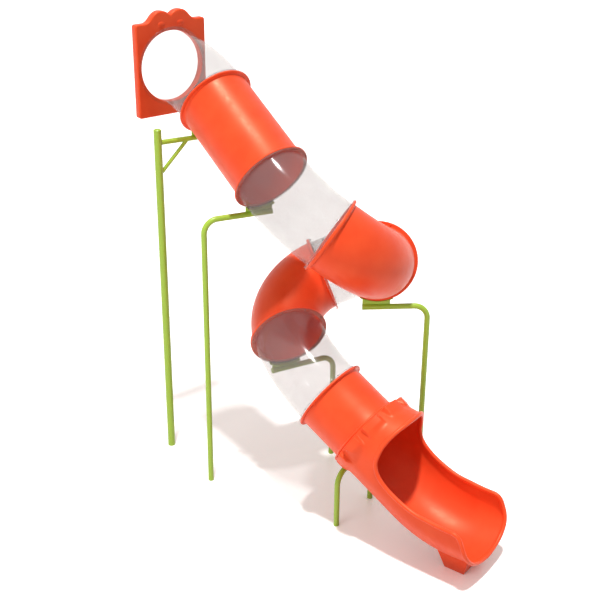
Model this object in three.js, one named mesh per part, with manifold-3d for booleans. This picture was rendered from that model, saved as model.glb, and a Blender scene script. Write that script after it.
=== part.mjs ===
// Spiral tube slide for a playground, 1:1 in millimetres, +Z up, floor at z = 0.
//
// The tube starts level at the round hole of an upright entrance panel, whose face looks
// along -Y, dips, runs down a straight tube, winds once round to its left and leaves through
// a hooded exit chute. Red moulded sections and clear sections take turns, bolted flange to
// flange. Bent steel pipes carry five of the flange joints on curved straps.
//
// The origin lies on the floor below the middle of the whole slide's outline.

import * as THREE from 'three';
import { mergeVertices } from 'three/addons/utils/BufferGeometryUtils.js';
import Module from 'manifold-3d';

const wasm = await Module();
wasm.setup();

// Colours
const RED_PLASTIC = { color: 0xe9502b, roughness: 0.42, metalness: 0 };
const CLEAR_PLASTIC = { color: 0xeef2f2, roughness: 0.08, metalness: 0, transparent: true, opacity: 0.3 };
const GREEN_STEEL = { color: 0x94b531, roughness: 0.38, metalness: 0.1 };

// Clearances
const SEAT_GAP = 0.3; // between two pieces that bear on each other
const OVERRUN = 20; // how far a cutter reaches past what it cuts

// Tube sections
const BORE_RADIUS = 381;
const PLASTIC_WALL = 8;
const CLEAR_WALL = 6;
const FLANGE_RADIUS = 430;
const FLANGE_EDGE = 5; // drop of the flange's rounded edge
const FLANGE_FILLET = 12;
const PLASTIC_FLANGE = 24; // thickness
const CLEAR_FLANGE = 12;
const TUBE_SIDES = 26;

// The route of the tube, from the entrance down
const LIP_HEIGHT = 511.25; // floor to the exit's axis at its lip
const LONG_BEND_RADIUS = 1550;
const LONG_BEND_TURN = 31.5; // degrees
const LONG_BEND_STEPS = 4;
const TIGHT_BEND_RADIUS = 600;
const TIGHT_BEND_TURN = 92.5; // degrees
const TIGHT_BEND_STEPS = 6;
const LONG_TUBE_LENGTH = 1150;
const SHORT_TUBE_LENGTH = 550;

// How far each bend's plane dips from level, about the tube's own axis, in degrees
const CLEAR_ELBOW_1_DIP_ANGLE = 90;
const CLEAR_ELBOW_2_DIP_ANGLE = 13.1;
const RED_ELBOW_1_DIP_ANGLE = 17.4;
const CLEAR_ELBOW_3_DIP_ANGLE = 24.1;
const RED_ELBOW_2_DIP_ANGLE = 24.9;
const CLEAR_ELBOW_4_DIP_ANGLE = 23.5;

// Entrance panel
const PANEL_WIDTH = 890;
const PANEL_THICKNESS = 94;
const PANEL_BELOW = 535; // hole's centre to the lower edge
const PANEL_SHOULDER = 488; // hole's centre to the flat shoulders
const PANEL_HUMP = 606; // hole's centre to the top of each hump
const PANEL_VALLEY = 548; // hole's centre to the notch between the humps
const PANEL_CORNER = 28;
const PANEL_EDGE = 12; // rounding of the outer edges
const PANEL_EDGE_STEPS = 2;
const HUMP_OFFSET = 122; // hole's centre line to each hump's top
const NOTCH_SHARE = 0.25; // of that, where the notch's straight sides end
const SHOULDER_OFFSET = 336; // hole's centre line to where each shoulder starts
const RELIEF_DEPTH = 6; // how far each raised oval stands out
const RELIEF_WIDTH = 84;
const RELIEF_HEIGHT = 56;
const RELIEF_DROP = 142; // oval's centre below the hump's top
const HOLE_EDGE = 6; // hole's edge outside the bore

// Exit section, in its own line from the last joint
const EXIT_WALL = 9;
const EXIT_STRAIGHT = 800;
const EXIT_BEND_RADIUS = 1260;
const EXIT_BEND_TURN = 27.3; // degrees
const EXIT_RUNOUT = 272;
const EXIT_SIDES = 28;
const HOOD_LENGTH = 300; // joint to the mouth's top
const HOOD_HEIGHT = 590; // tube axis to the mouth's top
const HOOD_ROOT_HEIGHT = 468; // tube axis to the hood's top at the joint
const HOOD_ROOT_HALF_WIDTH = 425;
const CHUTE_HALF_WIDTH = 432;
const CHUTE_DEPTH = 372; // tube axis to the chute's floor
const LIP_DEPTH = 298; // tube axis to the lip's floor
const RIM_RADIUS = 22;
const RIM_SIDES = 8;
const RIM_STEPS = 30;
const EXIT_FLANGE = 26;
const COLLAR_LENGTH = 64; // joint to the end of the bolt lugs
const COLLAR_RADIUS = 475;
const COLLAR_LIFT = 55; // the ring of lugs stands higher above the tube than below
const COLLAR_ROUND = 24;
const ROUND_CORNER_SHARE = 0.3; // where a rounded edge's middle point lies
const POCKETS = 10;
const POCKET_WIDTH = 128;

// The mouth's edge in side view, as shares: along the exit past the hood and above its axis
const MOUTH_ALONG_SHARES = [
  0, -0.01, -0.0075, 0.0135, 0.042, 0.093, 0.15, 0.233, 0.314, 0.412,
  0.513, 0.611, 0.711, 0.813, 0.861, 0.898, 0.932, 0.973, 1,
];
const MOUTH_ABOVE_SHARES = [
  1, 0.85, 0.66, 0.461, 0.302, 0.179, 0.122, 0.089, 0.089, 0.11,
  0.139, 0.183, 0.207, 0.22, 0.22, 0.178, 0.042, -0.203, -0.527,
];

// Exit foot
const FOOT_CENTRE = 1212; // joint to the foot's centre, measured level
const FOOT_LENGTH = 222;
const FOOT_WIDTH = 300;
const FOOT_FLARE_SHARE = 0.28; // how much each side leans out on its way up
const FOOT_WALL = 10;

// Supports
const POST_RADIUS = 42.5; // tall post
const POST_WALL = 4;
const POST_ABOVE_ARM = 135;
const POST_CAP_RISE = 14;
const POST_CAP_THICKNESS = 4;
const POST_CAP_SHARE = 0.7; // where the dome's middle ring lies, out and up
const PIPE_RADIUS = 31; // bent posts
const PIPE_WALL = 4;
const PIPE_BEND = 150; // centre-line radius
const PIPE_BEND_STEPS = 5;
const PIPE_SIDES = 14;
const ARM_RADIUS = 28;
const ARM_WALL = 4;
const BRACE_RADIUS = 21;
const BRACE_WALL = 3;
const BRACE_DROP = 365; // arm axis to the brace's end on the post
const BRACE_REACH = 350; // post axis to the brace's end on the arm
const FRAME_RADIUS = 30;
const FRAME_HALF_WIDTH = 324;
const FRAME_SHIFT = 80; // to the left of the tube
const FRAME_ADVANCE = 48; // past the last joint
const FRAME_BEND = 150;

// Where each post stands: reach across from its flange, and swing up the slide in degrees
const TALL_POST_REACH = 547;
const TALL_POST_SWING_ANGLE = 9;
const POST_2_REACH = 619;
const POST_2_SWING_ANGLE = 13.5;
const POST_3_REACH = 563;
const POST_3_SWING_ANGLE = -6;
const POST_4_REACH = 638;
const POST_4_SWING_ANGLE = 10;

// Flange straps and the gusset plates that stand on the pipes
const STRAP_THICKNESS = 8;
const STRAP_WIDTH = 74;
const STRAP_HALF_ANGLE = 24; // degrees
const STRAP_STEPS = 8;
const DRUM_SIDES = 78; // of the round cut in a gusset
const GUSSET_THICKNESS = 12;
const GUSSET_LENGTH = 300;
const GUSSET_HEIGHT = 33; // at the middle
const ARM_OVERHANG = 150; // arm's end past the flange's lowest point

const PLASTIC_RADIUS = BORE_RADIUS + PLASTIC_WALL;
const CLEAR_RADIUS = BORE_RADIUS + CLEAR_WALL;
const EXIT_RADIUS = BORE_RADIUS + EXIT_WALL;
const UP = new THREE.Vector3(0, 0, 1);
const radians = THREE.MathUtils.degToRad;

// A closed geometry as a solid that can be joined and cut.
function solid(geometry) {
  const bare = geometry.clone();
  bare.deleteAttribute('normal');
  bare.deleteAttribute('uv');
  const merged = mergeVertices(bare);
  return new wasm.Manifold(new wasm.Mesh({
    numProp: 3,
    vertProperties: new Float32Array(merged.attributes.position.array),
    triVerts: new Uint32Array(merged.index.array),
  }));
}

// A solid back as a geometry.
function surface(body) {
  const mesh = body.getMesh();
  const geometry = new THREE.BufferGeometry();
  geometry.setAttribute('position', new THREE.BufferAttribute(mesh.vertProperties, 3));
  geometry.setIndex(new THREE.BufferAttribute(mesh.triVerts, 1));
  geometry.computeVertexNormals();
  return geometry;
}

// A plane route made of straights and bends, starting at the origin along +X. A bend with a
// positive turn curves towards +Z.
class Route {
  constructor(legs) {
    this.legs = [];
    this.length = 0;
    let x = 0;
    let z = 0;
    let angle = 0;
    for (const leg of legs) {
      const turn = radians(leg.turn ?? 0);
      const run = leg.run ?? leg.radius * Math.abs(turn);
      this.legs.push({ start: this.length, run, turn, radius: leg.radius, x, z, angle });
      const end = Route.along(this.legs.at(-1), run);
      x = end.x;
      z = end.z;
      angle = end.angle;
      this.length += run;
    }
  }

  static along(leg, distance) {
    if (leg.turn === 0) {
      const x = leg.x + distance * Math.cos(leg.angle);
      const z = leg.z + distance * Math.sin(leg.angle);
      return { x, z, angle: leg.angle };
    }
    const side = Math.sign(leg.turn);
    const angle = leg.angle + (side * distance) / leg.radius;
    const x = leg.x + side * leg.radius * (Math.sin(angle) - Math.sin(leg.angle));
    const z = leg.z - side * leg.radius * (Math.cos(angle) - Math.cos(leg.angle));
    return { x, z, angle };
  }

  at(station) {
    const leg = this.legs.findLast((entry) => station >= entry.start) ?? this.legs[0];
    return Route.along(leg, station - leg.start);
  }
}

// Bends a shape that was built along +X so that its axis follows the route.
function follow(geometry, route) {
  const position = geometry.attributes.position;
  for (let i = 0; i < position.count; i += 1) {
    const centre = route.at(position.getX(i));
    const rise = position.getZ(i);
    const x = centre.x - rise * Math.sin(centre.angle);
    const z = centre.z + rise * Math.cos(centre.angle);
    position.setXYZ(i, x, position.getY(i), z);
  }
  geometry.computeVertexNormals();
  return geometry;
}

// A closed outline of (radius, station) points turned about +X.
function turned(outline, sides) {
  const points = outline.map(([radius, station]) => new THREE.Vector2(radius, station));
  return new THREE.LatheGeometry(points, sides).rotateZ(-Math.PI / 2);
}

// Stations between two ends, both left out.
function between(start, end, steps) {
  const stations = [];
  for (let i = 1; i < steps; i += 1) {
    stations.push(start + ((end - start) * i) / steps);
  }
  return stations;
}

// Half outline of a tube with a rounded flange at each end, closed on itself.
function flangedOutline(length, steps, radius, flange) {
  const start = SEAT_GAP / 2;
  const end = length - SEAT_GAP / 2;
  const crown = FLANGE_RADIUS - FLANGE_EDGE;
  const wallStart = start + flange + FLANGE_FILLET;
  const wallEnd = end - flange - FLANGE_FILLET;
  const stations = between(wallStart, wallEnd, steps);
  const outer = stations.map((station) => [radius, station]);
  const inner = stations.map((station) => [BORE_RADIUS, station]).reverse();
  return [
    [BORE_RADIUS, start],
    [crown, start],
    [FLANGE_RADIUS, start + flange / 2],
    [crown, start + flange],
    [radius + FLANGE_FILLET, start + flange],
    [radius, wallStart],
    ...outer,
    [radius, wallEnd],
    [radius + FLANGE_FILLET, end - flange],
    [crown, end - flange],
    [FLANGE_RADIUS, end - flange / 2],
    [crown, end],
    [BORE_RADIUS, end],
    ...inner,
    [BORE_RADIUS, start],
  ];
}

// Routes of the four kinds of tube section.
const LONG_BEND = new Route([{ radius: LONG_BEND_RADIUS, turn: LONG_BEND_TURN }]);
const TIGHT_BEND = new Route([{ radius: TIGHT_BEND_RADIUS, turn: TIGHT_BEND_TURN }]);
const LONG_TUBE = new Route([{ run: LONG_TUBE_LENGTH }]);
const SHORT_TUBE = new Route([{ run: SHORT_TUBE_LENGTH }]);

function clearSection(route, steps) {
  const outline = flangedOutline(route.length, steps, CLEAR_RADIUS, CLEAR_FLANGE);
  return follow(turned(outline, TUBE_SIDES), route);
}

function redSection(route, steps) {
  const outline = flangedOutline(route.length, steps, PLASTIC_RADIUS, PLASTIC_FLANGE);
  return follow(turned(outline, TUBE_SIDES), route);
}

// Half outline of an open-ended pipe with rings at the given stations.
function pipeOutline(stations, radius, wall) {
  const outer = stations.map((station) => [radius, station]);
  const inner = stations.map((station) => [radius - wall, station]).reverse();
  return [...outer, ...inner, outer[0]];
}

// A pipe along a route, with rings only where the route bends.
function routedPipe(route, radius, wall) {
  const stations = [0];
  for (const leg of route.legs) {
    const end = leg.start + leg.run;
    if (leg.turn !== 0) {
      stations.push(...between(leg.start, end, PIPE_BEND_STEPS));
    }
    stations.push(end);
  }
  return follow(turned(pipeOutline(stations, radius, wall), PIPE_SIDES), route);
}

// A solid rod about +X, for cutting.
function rod(radius, start, end, sides) {
  return turned([[0, start], [radius, start], [radius, end], [0, end]], sides);
}

function mesh(name, geometry, finish) {
  const piece = new THREE.Mesh(geometry, new THREE.MeshStandardMaterial(finish));
  piece.name = name;
  return piece;
}

// A group whose +X and +Z axes lie along the given directions.
function placed(origin, alongX, alongZ) {
  const x = alongX.clone().normalize();
  const y = alongZ.clone().cross(x).normalize();
  const z = x.clone().cross(y);
  const frame = new THREE.Group();
  frame.quaternion.setFromRotationMatrix(new THREE.Matrix4().makeBasis(x, y, z));
  frame.position.copy(origin);
  frame.updateMatrix();
  return frame;
}

// A joint between two sections: its centre, the way down the tube, and the directions to the
// tube's left and top.
class Joint {
  constructor(centre, forward) {
    this.centre = centre;
    this.forward = forward.clone().normalize();
    this.left = UP.clone().cross(this.forward).normalize();
    this.top = this.forward.clone().cross(this.left);
  }

  // The lowest point of the flange's edge.
  get bottom() {
    return this.centre.clone().addScaledVector(this.top, -FLANGE_RADIUS);
  }

  // The group of a section that starts here, bending to the left and dipping.
  frame(dip) {
    const bendsTo = this.left.clone().multiplyScalar(Math.cos(radians(dip)));
    bendsTo.addScaledVector(this.top, -Math.sin(radians(dip)));
    return placed(this.centre, this.forward, bendsTo);
  }
}

// Where a section that starts at a frame ends.
function nextJoint(frame, route) {
  const end = route.at(route.length);
  const centre = new THREE.Vector3(end.x, 0, end.z).applyMatrix4(frame.matrix);
  const forward = new THREE.Vector3(Math.cos(end.angle), 0, Math.sin(end.angle));
  return new Joint(centre, forward.applyQuaternion(frame.quaternion));
}

// The panel's outline: flat shoulders and two humps with a notch between them.
function panelShape() {
  const half = PANEL_WIDTH / 2 - PANEL_EDGE;
  const low = -PANEL_BELOW + PANEL_EDGE;
  const shoulder = PANEL_SHOULDER - PANEL_EDGE;
  const hump = PANEL_HUMP - PANEL_EDGE;
  const valley = PANEL_VALLEY - PANEL_EDGE;
  const shape = new THREE.Shape();
  shape.moveTo(-half + PANEL_CORNER, low);
  shape.lineTo(half - PANEL_CORNER, low);
  shape.quadraticCurveTo(half, low, half, low + PANEL_CORNER);
  shape.lineTo(half, shoulder - PANEL_CORNER);
  shape.quadraticCurveTo(half, shoulder, half - PANEL_CORNER, shoulder);
  shape.lineTo(SHOULDER_OFFSET, shoulder);
  const rise = (SHOULDER_OFFSET - HUMP_OFFSET) / 2;
  const top = HUMP_OFFSET;
  shape.bezierCurveTo(top + rise, shoulder, top + rise, hump, top, hump);
  const side = top * NOTCH_SHARE;
  const middle = (hump + valley) / 2;
  shape.bezierCurveTo(top / 2, hump, side, middle, 0, valley);
  shape.bezierCurveTo(-side, middle, -top / 2, hump, -top, hump);
  shape.bezierCurveTo(-top - rise, hump, -top - rise, shoulder, -SHOULDER_OFFSET, shoulder);
  shape.lineTo(-half + PANEL_CORNER, shoulder);
  shape.quadraticCurveTo(-half, shoulder, -half, shoulder - PANEL_CORNER);
  shape.lineTo(-half, low + PANEL_CORNER);
  shape.quadraticCurveTo(-half, low, -half + PANEL_CORNER, low);
  const hole = new THREE.Path();
  hole.absarc(0, 0, BORE_RADIUS + HOLE_EDGE, 0, Math.PI * 2, true);
  shape.holes.push(hole);
  return shape;
}

// The board lies in X and Z with its front face at y = 0 and its back towards +Y.
function entrancePanel() {
  const board = new THREE.ExtrudeGeometry(panelShape(), {
    depth: PANEL_THICKNESS - 2 * PANEL_EDGE,
    bevelThickness: PANEL_EDGE,
    bevelSize: PANEL_EDGE,
    bevelSegments: PANEL_EDGE_STEPS,
    curveSegments: 7,
  });
  board.translate(0, 0, PANEL_EDGE - PANEL_THICKNESS);
  board.rotateX(Math.PI / 2);
  let body = solid(board);
  for (const side of [-1, 1]) {
    body = body.add(solid(humpRelief(side)));
  }
  return surface(body);
}

// A plain raised oval on the front face under one hump.
function humpRelief(side) {
  const shape = new THREE.Shape();
  shape.absellipse(0, 0, RELIEF_WIDTH / 2, RELIEF_HEIGHT / 2, 0, Math.PI * 2);
  const depth = RELIEF_DEPTH + OVERRUN;
  const oval = new THREE.ExtrudeGeometry(shape, { depth, bevelEnabled: false, curveSegments: 7 });
  oval.translate(0, 0, -OVERRUN);
  oval.rotateX(Math.PI / 2);
  return oval.translate(side * HUMP_OFFSET, 0, PANEL_HUMP - RELIEF_DROP);
}

// The exit's centre line. It leaves the last joint along the tube and flattens out.
const EXIT_ROUTE = new Route([
  { run: EXIT_STRAIGHT },
  { radius: EXIT_BEND_RADIUS, turn: EXIT_BEND_TURN },
  { run: EXIT_RUNOUT },
]);

// How far the hood has risen at a station, as a share.
function hoodShare(station) {
  return THREE.MathUtils.clamp(station / HOOD_LENGTH, 0, 1);
}

// How much of the lip's shallower floor a station has, as a share.
function lipShare(station) {
  const run = EXIT_ROUTE.length - EXIT_STRAIGHT;
  return THREE.MathUtils.clamp((station - EXIT_STRAIGHT) / run, 0, 1) ** 2;
}

// The exit's outer section at a station: half its width, the height of its straight sides
// and the depth of its floor.
function exitSize(station) {
  const share = hoodShare(station);
  const width = THREE.MathUtils.lerp(HOOD_ROOT_HALF_WIDTH, CHUTE_HALF_WIDTH, share);
  const height = THREE.MathUtils.lerp(HOOD_ROOT_HEIGHT, HOOD_HEIGHT, share);
  const floor = THREE.MathUtils.lerp(EXIT_RADIUS, CHUTE_DEPTH, share);
  const depth = THREE.MathUtils.lerp(floor, LIP_DEPTH, lipShare(station));
  return { width, side: height - width, depth };
}

// One ring across the exit: an arch on straight sides above the axis, and half an ellipse
// below it.
function archRing(station, { width, side, depth }) {
  const ring = [];
  for (let i = 0; i < EXIT_SIDES; i += 1) {
    const angle = (Math.PI * 2 * i) / EXIT_SIDES;
    const rise = Math.sin(angle);
    const height = rise > 0 ? side + width * rise : depth * rise;
    ring.push(new THREE.Vector3(station, width * Math.cos(angle), height));
  }
  return ring;
}

// One ring of the exit's outer skin, or of that skin drawn in by an inset.
function exitRing(station, inset) {
  const { width, side, depth } = exitSize(station);
  return archRing(station, { width: width - inset, side, depth: depth - inset });
}

// One ring of the exit's inner skin, which opens from the tube's bore behind the lugs.
function innerRing(station) {
  const { width, side, depth } = exitSize(station);
  const share = THREE.MathUtils.clamp((station - EXIT_FLANGE) / (COLLAR_LENGTH - EXIT_FLANGE), 0, 1);
  return archRing(station, {
    width: THREE.MathUtils.lerp(BORE_RADIUS, width - EXIT_WALL, share),
    side: side * share,
    depth: THREE.MathUtils.lerp(BORE_RADIUS, depth - EXIT_WALL, share),
  });
}

// A closed solid through rings of equal count, flat at both ends.
function loft(rings) {
  const count = rings[0].length;
  const points = rings.flat();
  const faces = [];
  for (let row = 0; row + 1 < rings.length; row += 1) {
    for (let i = 0; i < count; i += 1) {
      const a = row * count + i;
      const b = row * count + ((i + 1) % count);
      faces.push(a, b, a + count, b, b + count, a + count);
    }
  }
  const last = (rings.length - 1) * count;
  for (let i = 1; i + 1 < count; i += 1) {
    faces.push(0, i + 1, i);
    faces.push(last, last + i, last + i + 1);
  }
  const geometry = new THREE.BufferGeometry().setFromPoints(points);
  geometry.setIndex(faces);
  return geometry;
}

// The exit's stations, closest together round the bend.
function exitStations() {
  const bendEnd = EXIT_ROUTE.length - EXIT_RUNOUT;
  return [
    EXIT_FLANGE,
    COLLAR_LENGTH,
    ...between(COLLAR_LENGTH, HOOD_LENGTH, 2),
    HOOD_LENGTH,
    ...between(HOOD_LENGTH, EXIT_STRAIGHT, 3),
    EXIT_STRAIGHT,
    ...between(EXIT_STRAIGHT, bendEnd, 4),
    bendEnd,
  ];
}

// The mouth's edge in side view, from the hood's top down to the chute's lip.
function mouthCurve() {
  const chute = EXIT_ROUTE.length - HOOD_LENGTH - RIM_RADIUS;
  const points = MOUTH_ALONG_SHARES.map((share, i) => {
    const along = HOOD_LENGTH + share * chute;
    return new THREE.Vector3(along, 0, MOUTH_ABOVE_SHARES[i] * HOOD_HEIGHT);
  });
  return new THREE.CatmullRomCurve3(points, false, 'centripetal');
}

// Everything above and past the mouth's edge.
function mouthCutter() {
  const edge = mouthCurve().getPoints(RIM_STEPS * 2);
  const top = HOOD_HEIGHT + OVERRUN + RIM_RADIUS;
  const end = EXIT_ROUTE.length + OVERRUN;
  const low = -EXIT_RADIUS - OVERRUN;
  const shape = new THREE.Shape();
  shape.moveTo(edge[0].x, top);
  for (const point of edge) {
    shape.lineTo(point.x, point.z);
  }
  shape.lineTo(edge.at(-1).x, low);
  shape.lineTo(end, low);
  shape.lineTo(end, top);
  const depth = 2 * (CHUTE_HALF_WIDTH + OVERRUN);
  const cutter = new THREE.ExtrudeGeometry(shape, { depth, bevelEnabled: false });
  return cutter.translate(0, 0, -depth / 2).rotateX(Math.PI / 2);
}

// Half of the rolled rim's line on the shell, from the hood's top to the middle of the lip.
function rimLine(side) {
  const middle = EXIT_WALL / 2;
  const points = [];
  for (const point of mouthCurve().getPoints(RIM_STEPS * 2)) {
    const size = exitSize(point.x);
    const high = size.side + size.width - middle;
    const height = THREE.MathUtils.clamp(point.z, middle - size.depth, high);
    const rise = Math.max(0, height - size.side) / (size.width - middle);
    const fall = Math.min(0, height) / (size.depth - middle);
    const spread = Math.sqrt(Math.max(0, 1 - rise ** 2 - fall ** 2));
    points.push(new THREE.Vector3(point.x, side * spread * (size.width - middle), height));
  }
  const across = side * RIM_RADIUS;
  const first = points[0].clone().setY(-across);
  const last = points.at(-1).clone().setY(-across);
  return new THREE.CatmullRomCurve3([first, ...points, last], false, 'centripetal');
}

// The rolled rim on one side of the exit.
function exitRim(side) {
  const section = new THREE.Shape();
  section.absarc(0, 0, RIM_RADIUS, 0, Math.PI * 2);
  return new THREE.ExtrudeGeometry(section, {
    steps: RIM_STEPS,
    curveSegments: RIM_SIDES / 2,
    extrudePath: rimLine(side),
  });
}

// The flange that bolts to the last tube.
function exitFlange() {
  const start = SEAT_GAP / 2;
  const crown = FLANGE_RADIUS - FLANGE_EDGE;
  return turned([
    [BORE_RADIUS, start],
    [crown, start],
    [FLANGE_RADIUS, EXIT_FLANGE / 2],
    [crown, EXIT_FLANGE],
    [BORE_RADIUS, EXIT_FLANGE],
    [BORE_RADIUS, start],
  ], TUBE_SIDES);
}

// The ring of rounded lugs behind the flange, with a pocket for each bolt between them.
function exitLugs() {
  const inner = BORE_RADIUS - COLLAR_LIFT;
  const start = EXIT_FLANGE / 2;
  const rounding = COLLAR_ROUND;
  const corner = rounding * ROUND_CORNER_SHARE;
  const ring = turned([
    [inner, start],
    [COLLAR_RADIUS - rounding, start],
    [COLLAR_RADIUS - corner, start + corner],
    [COLLAR_RADIUS, start + rounding],
    [COLLAR_RADIUS, COLLAR_LENGTH - rounding],
    [COLLAR_RADIUS - corner, COLLAR_LENGTH - corner],
    [COLLAR_RADIUS - rounding, COLLAR_LENGTH],
    [inner, COLLAR_LENGTH],
    [inner, start],
  ], TUBE_SIDES);
  let body = solid(ring.translate(0, 0, COLLAR_LIFT));
  const height = FLANGE_RADIUS;
  const length = COLLAR_LENGTH + OVERRUN - EXIT_FLANGE;
  for (let i = 0; i < POCKETS; i += 1) {
    const pocket = new THREE.BoxGeometry(length, POCKET_WIDTH, height);
    pocket.translate(EXIT_FLANGE + length / 2, 0, BORE_RADIUS + height / 2);
    pocket.rotateX((Math.PI * 2 * (i + 0.5)) / POCKETS);
    body = body.subtract(solid(pocket));
  }
  return body;
}

// Hood and chute in one moulding.
function exitSection() {
  const stations = exitStations();
  const skin = [SEAT_GAP / 2, ...stations, EXIT_ROUTE.length];
  const bore = [-OVERRUN, ...stations, EXIT_ROUTE.length + OVERRUN];
  const outer = solid(loft(skin.map((station) => exitRing(station, 0))));
  const inner = solid(loft(bore.map((station) => innerRing(station))));
  let body = outer.add(solid(exitFlange())).add(exitLugs());
  body = body.subtract(inner).subtract(solid(mouthCutter()));
  body = body.add(solid(exitRim(1))).add(solid(exitRim(-1)));
  return follow(surface(body), EXIT_ROUTE);
}

// One rectangular ring of the foot at a level above the floor.
function footRing(level, inset) {
  const spread = FOOT_FLARE_SHARE * level - inset;
  const length = FOOT_LENGTH / 2 + spread;
  const width = FOOT_WIDTH / 2 + spread;
  const corners = [[-1, -1], [1, -1], [1, 1], [-1, 1]];
  return corners.map(([x, y]) => new THREE.Vector3(x * length, y * width, level));
}

// A moulded foot that widens from the floor up to the chute, hollow and open below. The
// blank reaches into the chute, whose filling is then taken away.
function exitFoot(height, chute) {
  const outer = solid(loft([footRing(0, 0), footRing(height, 0)]));
  const inner = solid(loft([footRing(-OVERRUN, FOOT_WALL), footRing(height + OVERRUN, FOOT_WALL)]));
  return surface(outer.subtract(inner).subtract(chute));
}

// Everything that the chute fills, grown by the seat gap, for fitting the foot under it.
function chuteFilling() {
  const stations = [...exitStations(), EXIT_ROUTE.length];
  const rings = stations.map((station) => exitRing(station, -SEAT_GAP));
  return follow(loft(rings), EXIT_ROUTE);
}

// The curved strap under a joint. Its frame has +X down the tube and +Z at the tube's top.
function strap() {
  const step = radians(STRAP_HALF_ANGLE) / STRAP_STEPS;
  const inner = (FLANGE_RADIUS + SEAT_GAP) / Math.cos(step);
  const outer = inner + STRAP_THICKNESS;
  const start = Math.PI / 2 - radians(STRAP_HALF_ANGLE);
  const end = Math.PI / 2 + radians(STRAP_HALF_ANGLE);
  const shape = new THREE.Shape();
  for (let i = 0; i <= STRAP_STEPS; i += 1) {
    const angle = THREE.MathUtils.lerp(start, end, i / STRAP_STEPS);
    shape[i === 0 ? 'moveTo' : 'lineTo'](inner * Math.cos(angle), inner * Math.sin(angle));
  }
  for (let i = STRAP_STEPS; i >= 0; i -= 1) {
    const angle = THREE.MathUtils.lerp(start, end, i / STRAP_STEPS);
    shape.lineTo(outer * Math.cos(angle), outer * Math.sin(angle));
  }
  const band = new THREE.ExtrudeGeometry(shape, { depth: STRAP_WIDTH, bevelEnabled: false });
  band.translate(0, 0, -STRAP_WIDTH / 2);
  return band.rotateX(-Math.PI / 2).rotateZ(Math.PI / 2);
}

// The plate that stands on an arm along its length, cut to the strap above it. It is built
// in the arm's frame: +X from the flange to the post, +Z up, origin on the arm's axis under
// the flange's lowest point.
function gusset(radius, armFrame, joint) {
  const height = GUSSET_LENGTH / 2;
  const plate = new THREE.BoxGeometry(GUSSET_LENGTH, GUSSET_THICKNESS, height);
  plate.translate(0, 0, radius + SEAT_GAP + height / 2);
  const step = radians(STRAP_HALF_ANGLE) / STRAP_STEPS;
  const strapReach = (FLANGE_RADIUS + SEAT_GAP) / Math.cos(step) + STRAP_THICKNESS;
  const reach = (strapReach + SEAT_GAP) / Math.cos(Math.PI / DRUM_SIDES);
  const drum = rod(reach, -FLANGE_RADIUS, FLANGE_RADIUS, DRUM_SIDES);
  const jointFrame = placed(joint.centre, joint.forward, joint.top);
  drum.applyMatrix4(jointFrame.matrix);
  drum.applyMatrix4(armFrame.matrix.clone().invert());
  return surface(solid(plate).subtract(solid(drum)));
}

// An arm's frame under a joint, reaching to the left or right with a swing up the slide.
function armFrame(joint, side, swing, radius) {
  const level = joint.forward.clone().setZ(0).normalize();
  const reach = joint.left.clone().multiplyScalar(side * Math.cos(radians(swing)));
  reach.addScaledVector(level, -Math.sin(radians(swing)));
  const drop = STRAP_THICKNESS + GUSSET_HEIGHT + radius + 3 * SEAT_GAP;
  const origin = joint.bottom.addScaledVector(UP, -drop);
  return placed(origin, reach, UP);
}

// The strap and gusset under one joint.
function cradle(number, joint, frame, radius) {
  const band = placed(joint.centre, joint.forward, joint.top);
  band.add(mesh(`strap_${number}`, strap(), GREEN_STEEL));
  frame.add(mesh(`gusset_${number}`, gusset(radius, frame, joint), GREEN_STEEL));
  return band;
}

// A post bent over into an arm, built upwards from the floor in the arm's frame.
function bentPost(frame, reach) {
  const height = frame.position.z;
  const route = new Route([
    { run: height - PIPE_BEND },
    { radius: PIPE_BEND, turn: 90 },
    { run: reach - PIPE_BEND + ARM_OVERHANG },
  ]);
  const pipe = routedPipe(route, PIPE_RADIUS, PIPE_WALL);
  pipe.rotateY(-Math.PI / 2);
  return pipe.translate(reach, 0, -height);
}

// The tall straight post beside the first joint.
function tallPost(frame) {
  const height = frame.position.z + POST_ABOVE_ARM;
  const pipe = routedPipe(new Route([{ run: height }]), POST_RADIUS, POST_WALL);
  pipe.rotateY(-Math.PI / 2);
  return pipe.translate(TALL_POST_REACH, 0, -frame.position.z);
}

// The domed cap on the tall post.
function postCap() {
  const edge = POST_ABOVE_ARM + SEAT_GAP;
  const skirt = edge + POST_CAP_THICKNESS;
  const shoulder = POST_RADIUS * POST_CAP_SHARE;
  const cap = turned([
    [0, edge],
    [POST_RADIUS, edge],
    [POST_RADIUS, skirt],
    [shoulder, skirt + POST_CAP_RISE * POST_CAP_SHARE],
    [0, skirt + POST_CAP_RISE],
  ], PIPE_SIDES);
  return cap.rotateY(-Math.PI / 2).translate(TALL_POST_REACH, 0, 0);
}

// The level arm from the tall post to the first joint, coped to the post.
function tallPostArm() {
  const outline = pipeOutline([-ARM_OVERHANG, TALL_POST_REACH], ARM_RADIUS, ARM_WALL);
  const arm = solid(turned(outline, PIPE_SIDES));
  return surface(arm.subtract(solid(postBlank())));
}

// The tall post filled and grown by the seat gap, for coping what meets it.
function postBlank() {
  const blank = rod(POST_RADIUS + SEAT_GAP, -BRACE_DROP * 2, BRACE_DROP, PIPE_SIDES);
  return blank.rotateY(-Math.PI / 2).translate(TALL_POST_REACH, 0, 0);
}

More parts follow.
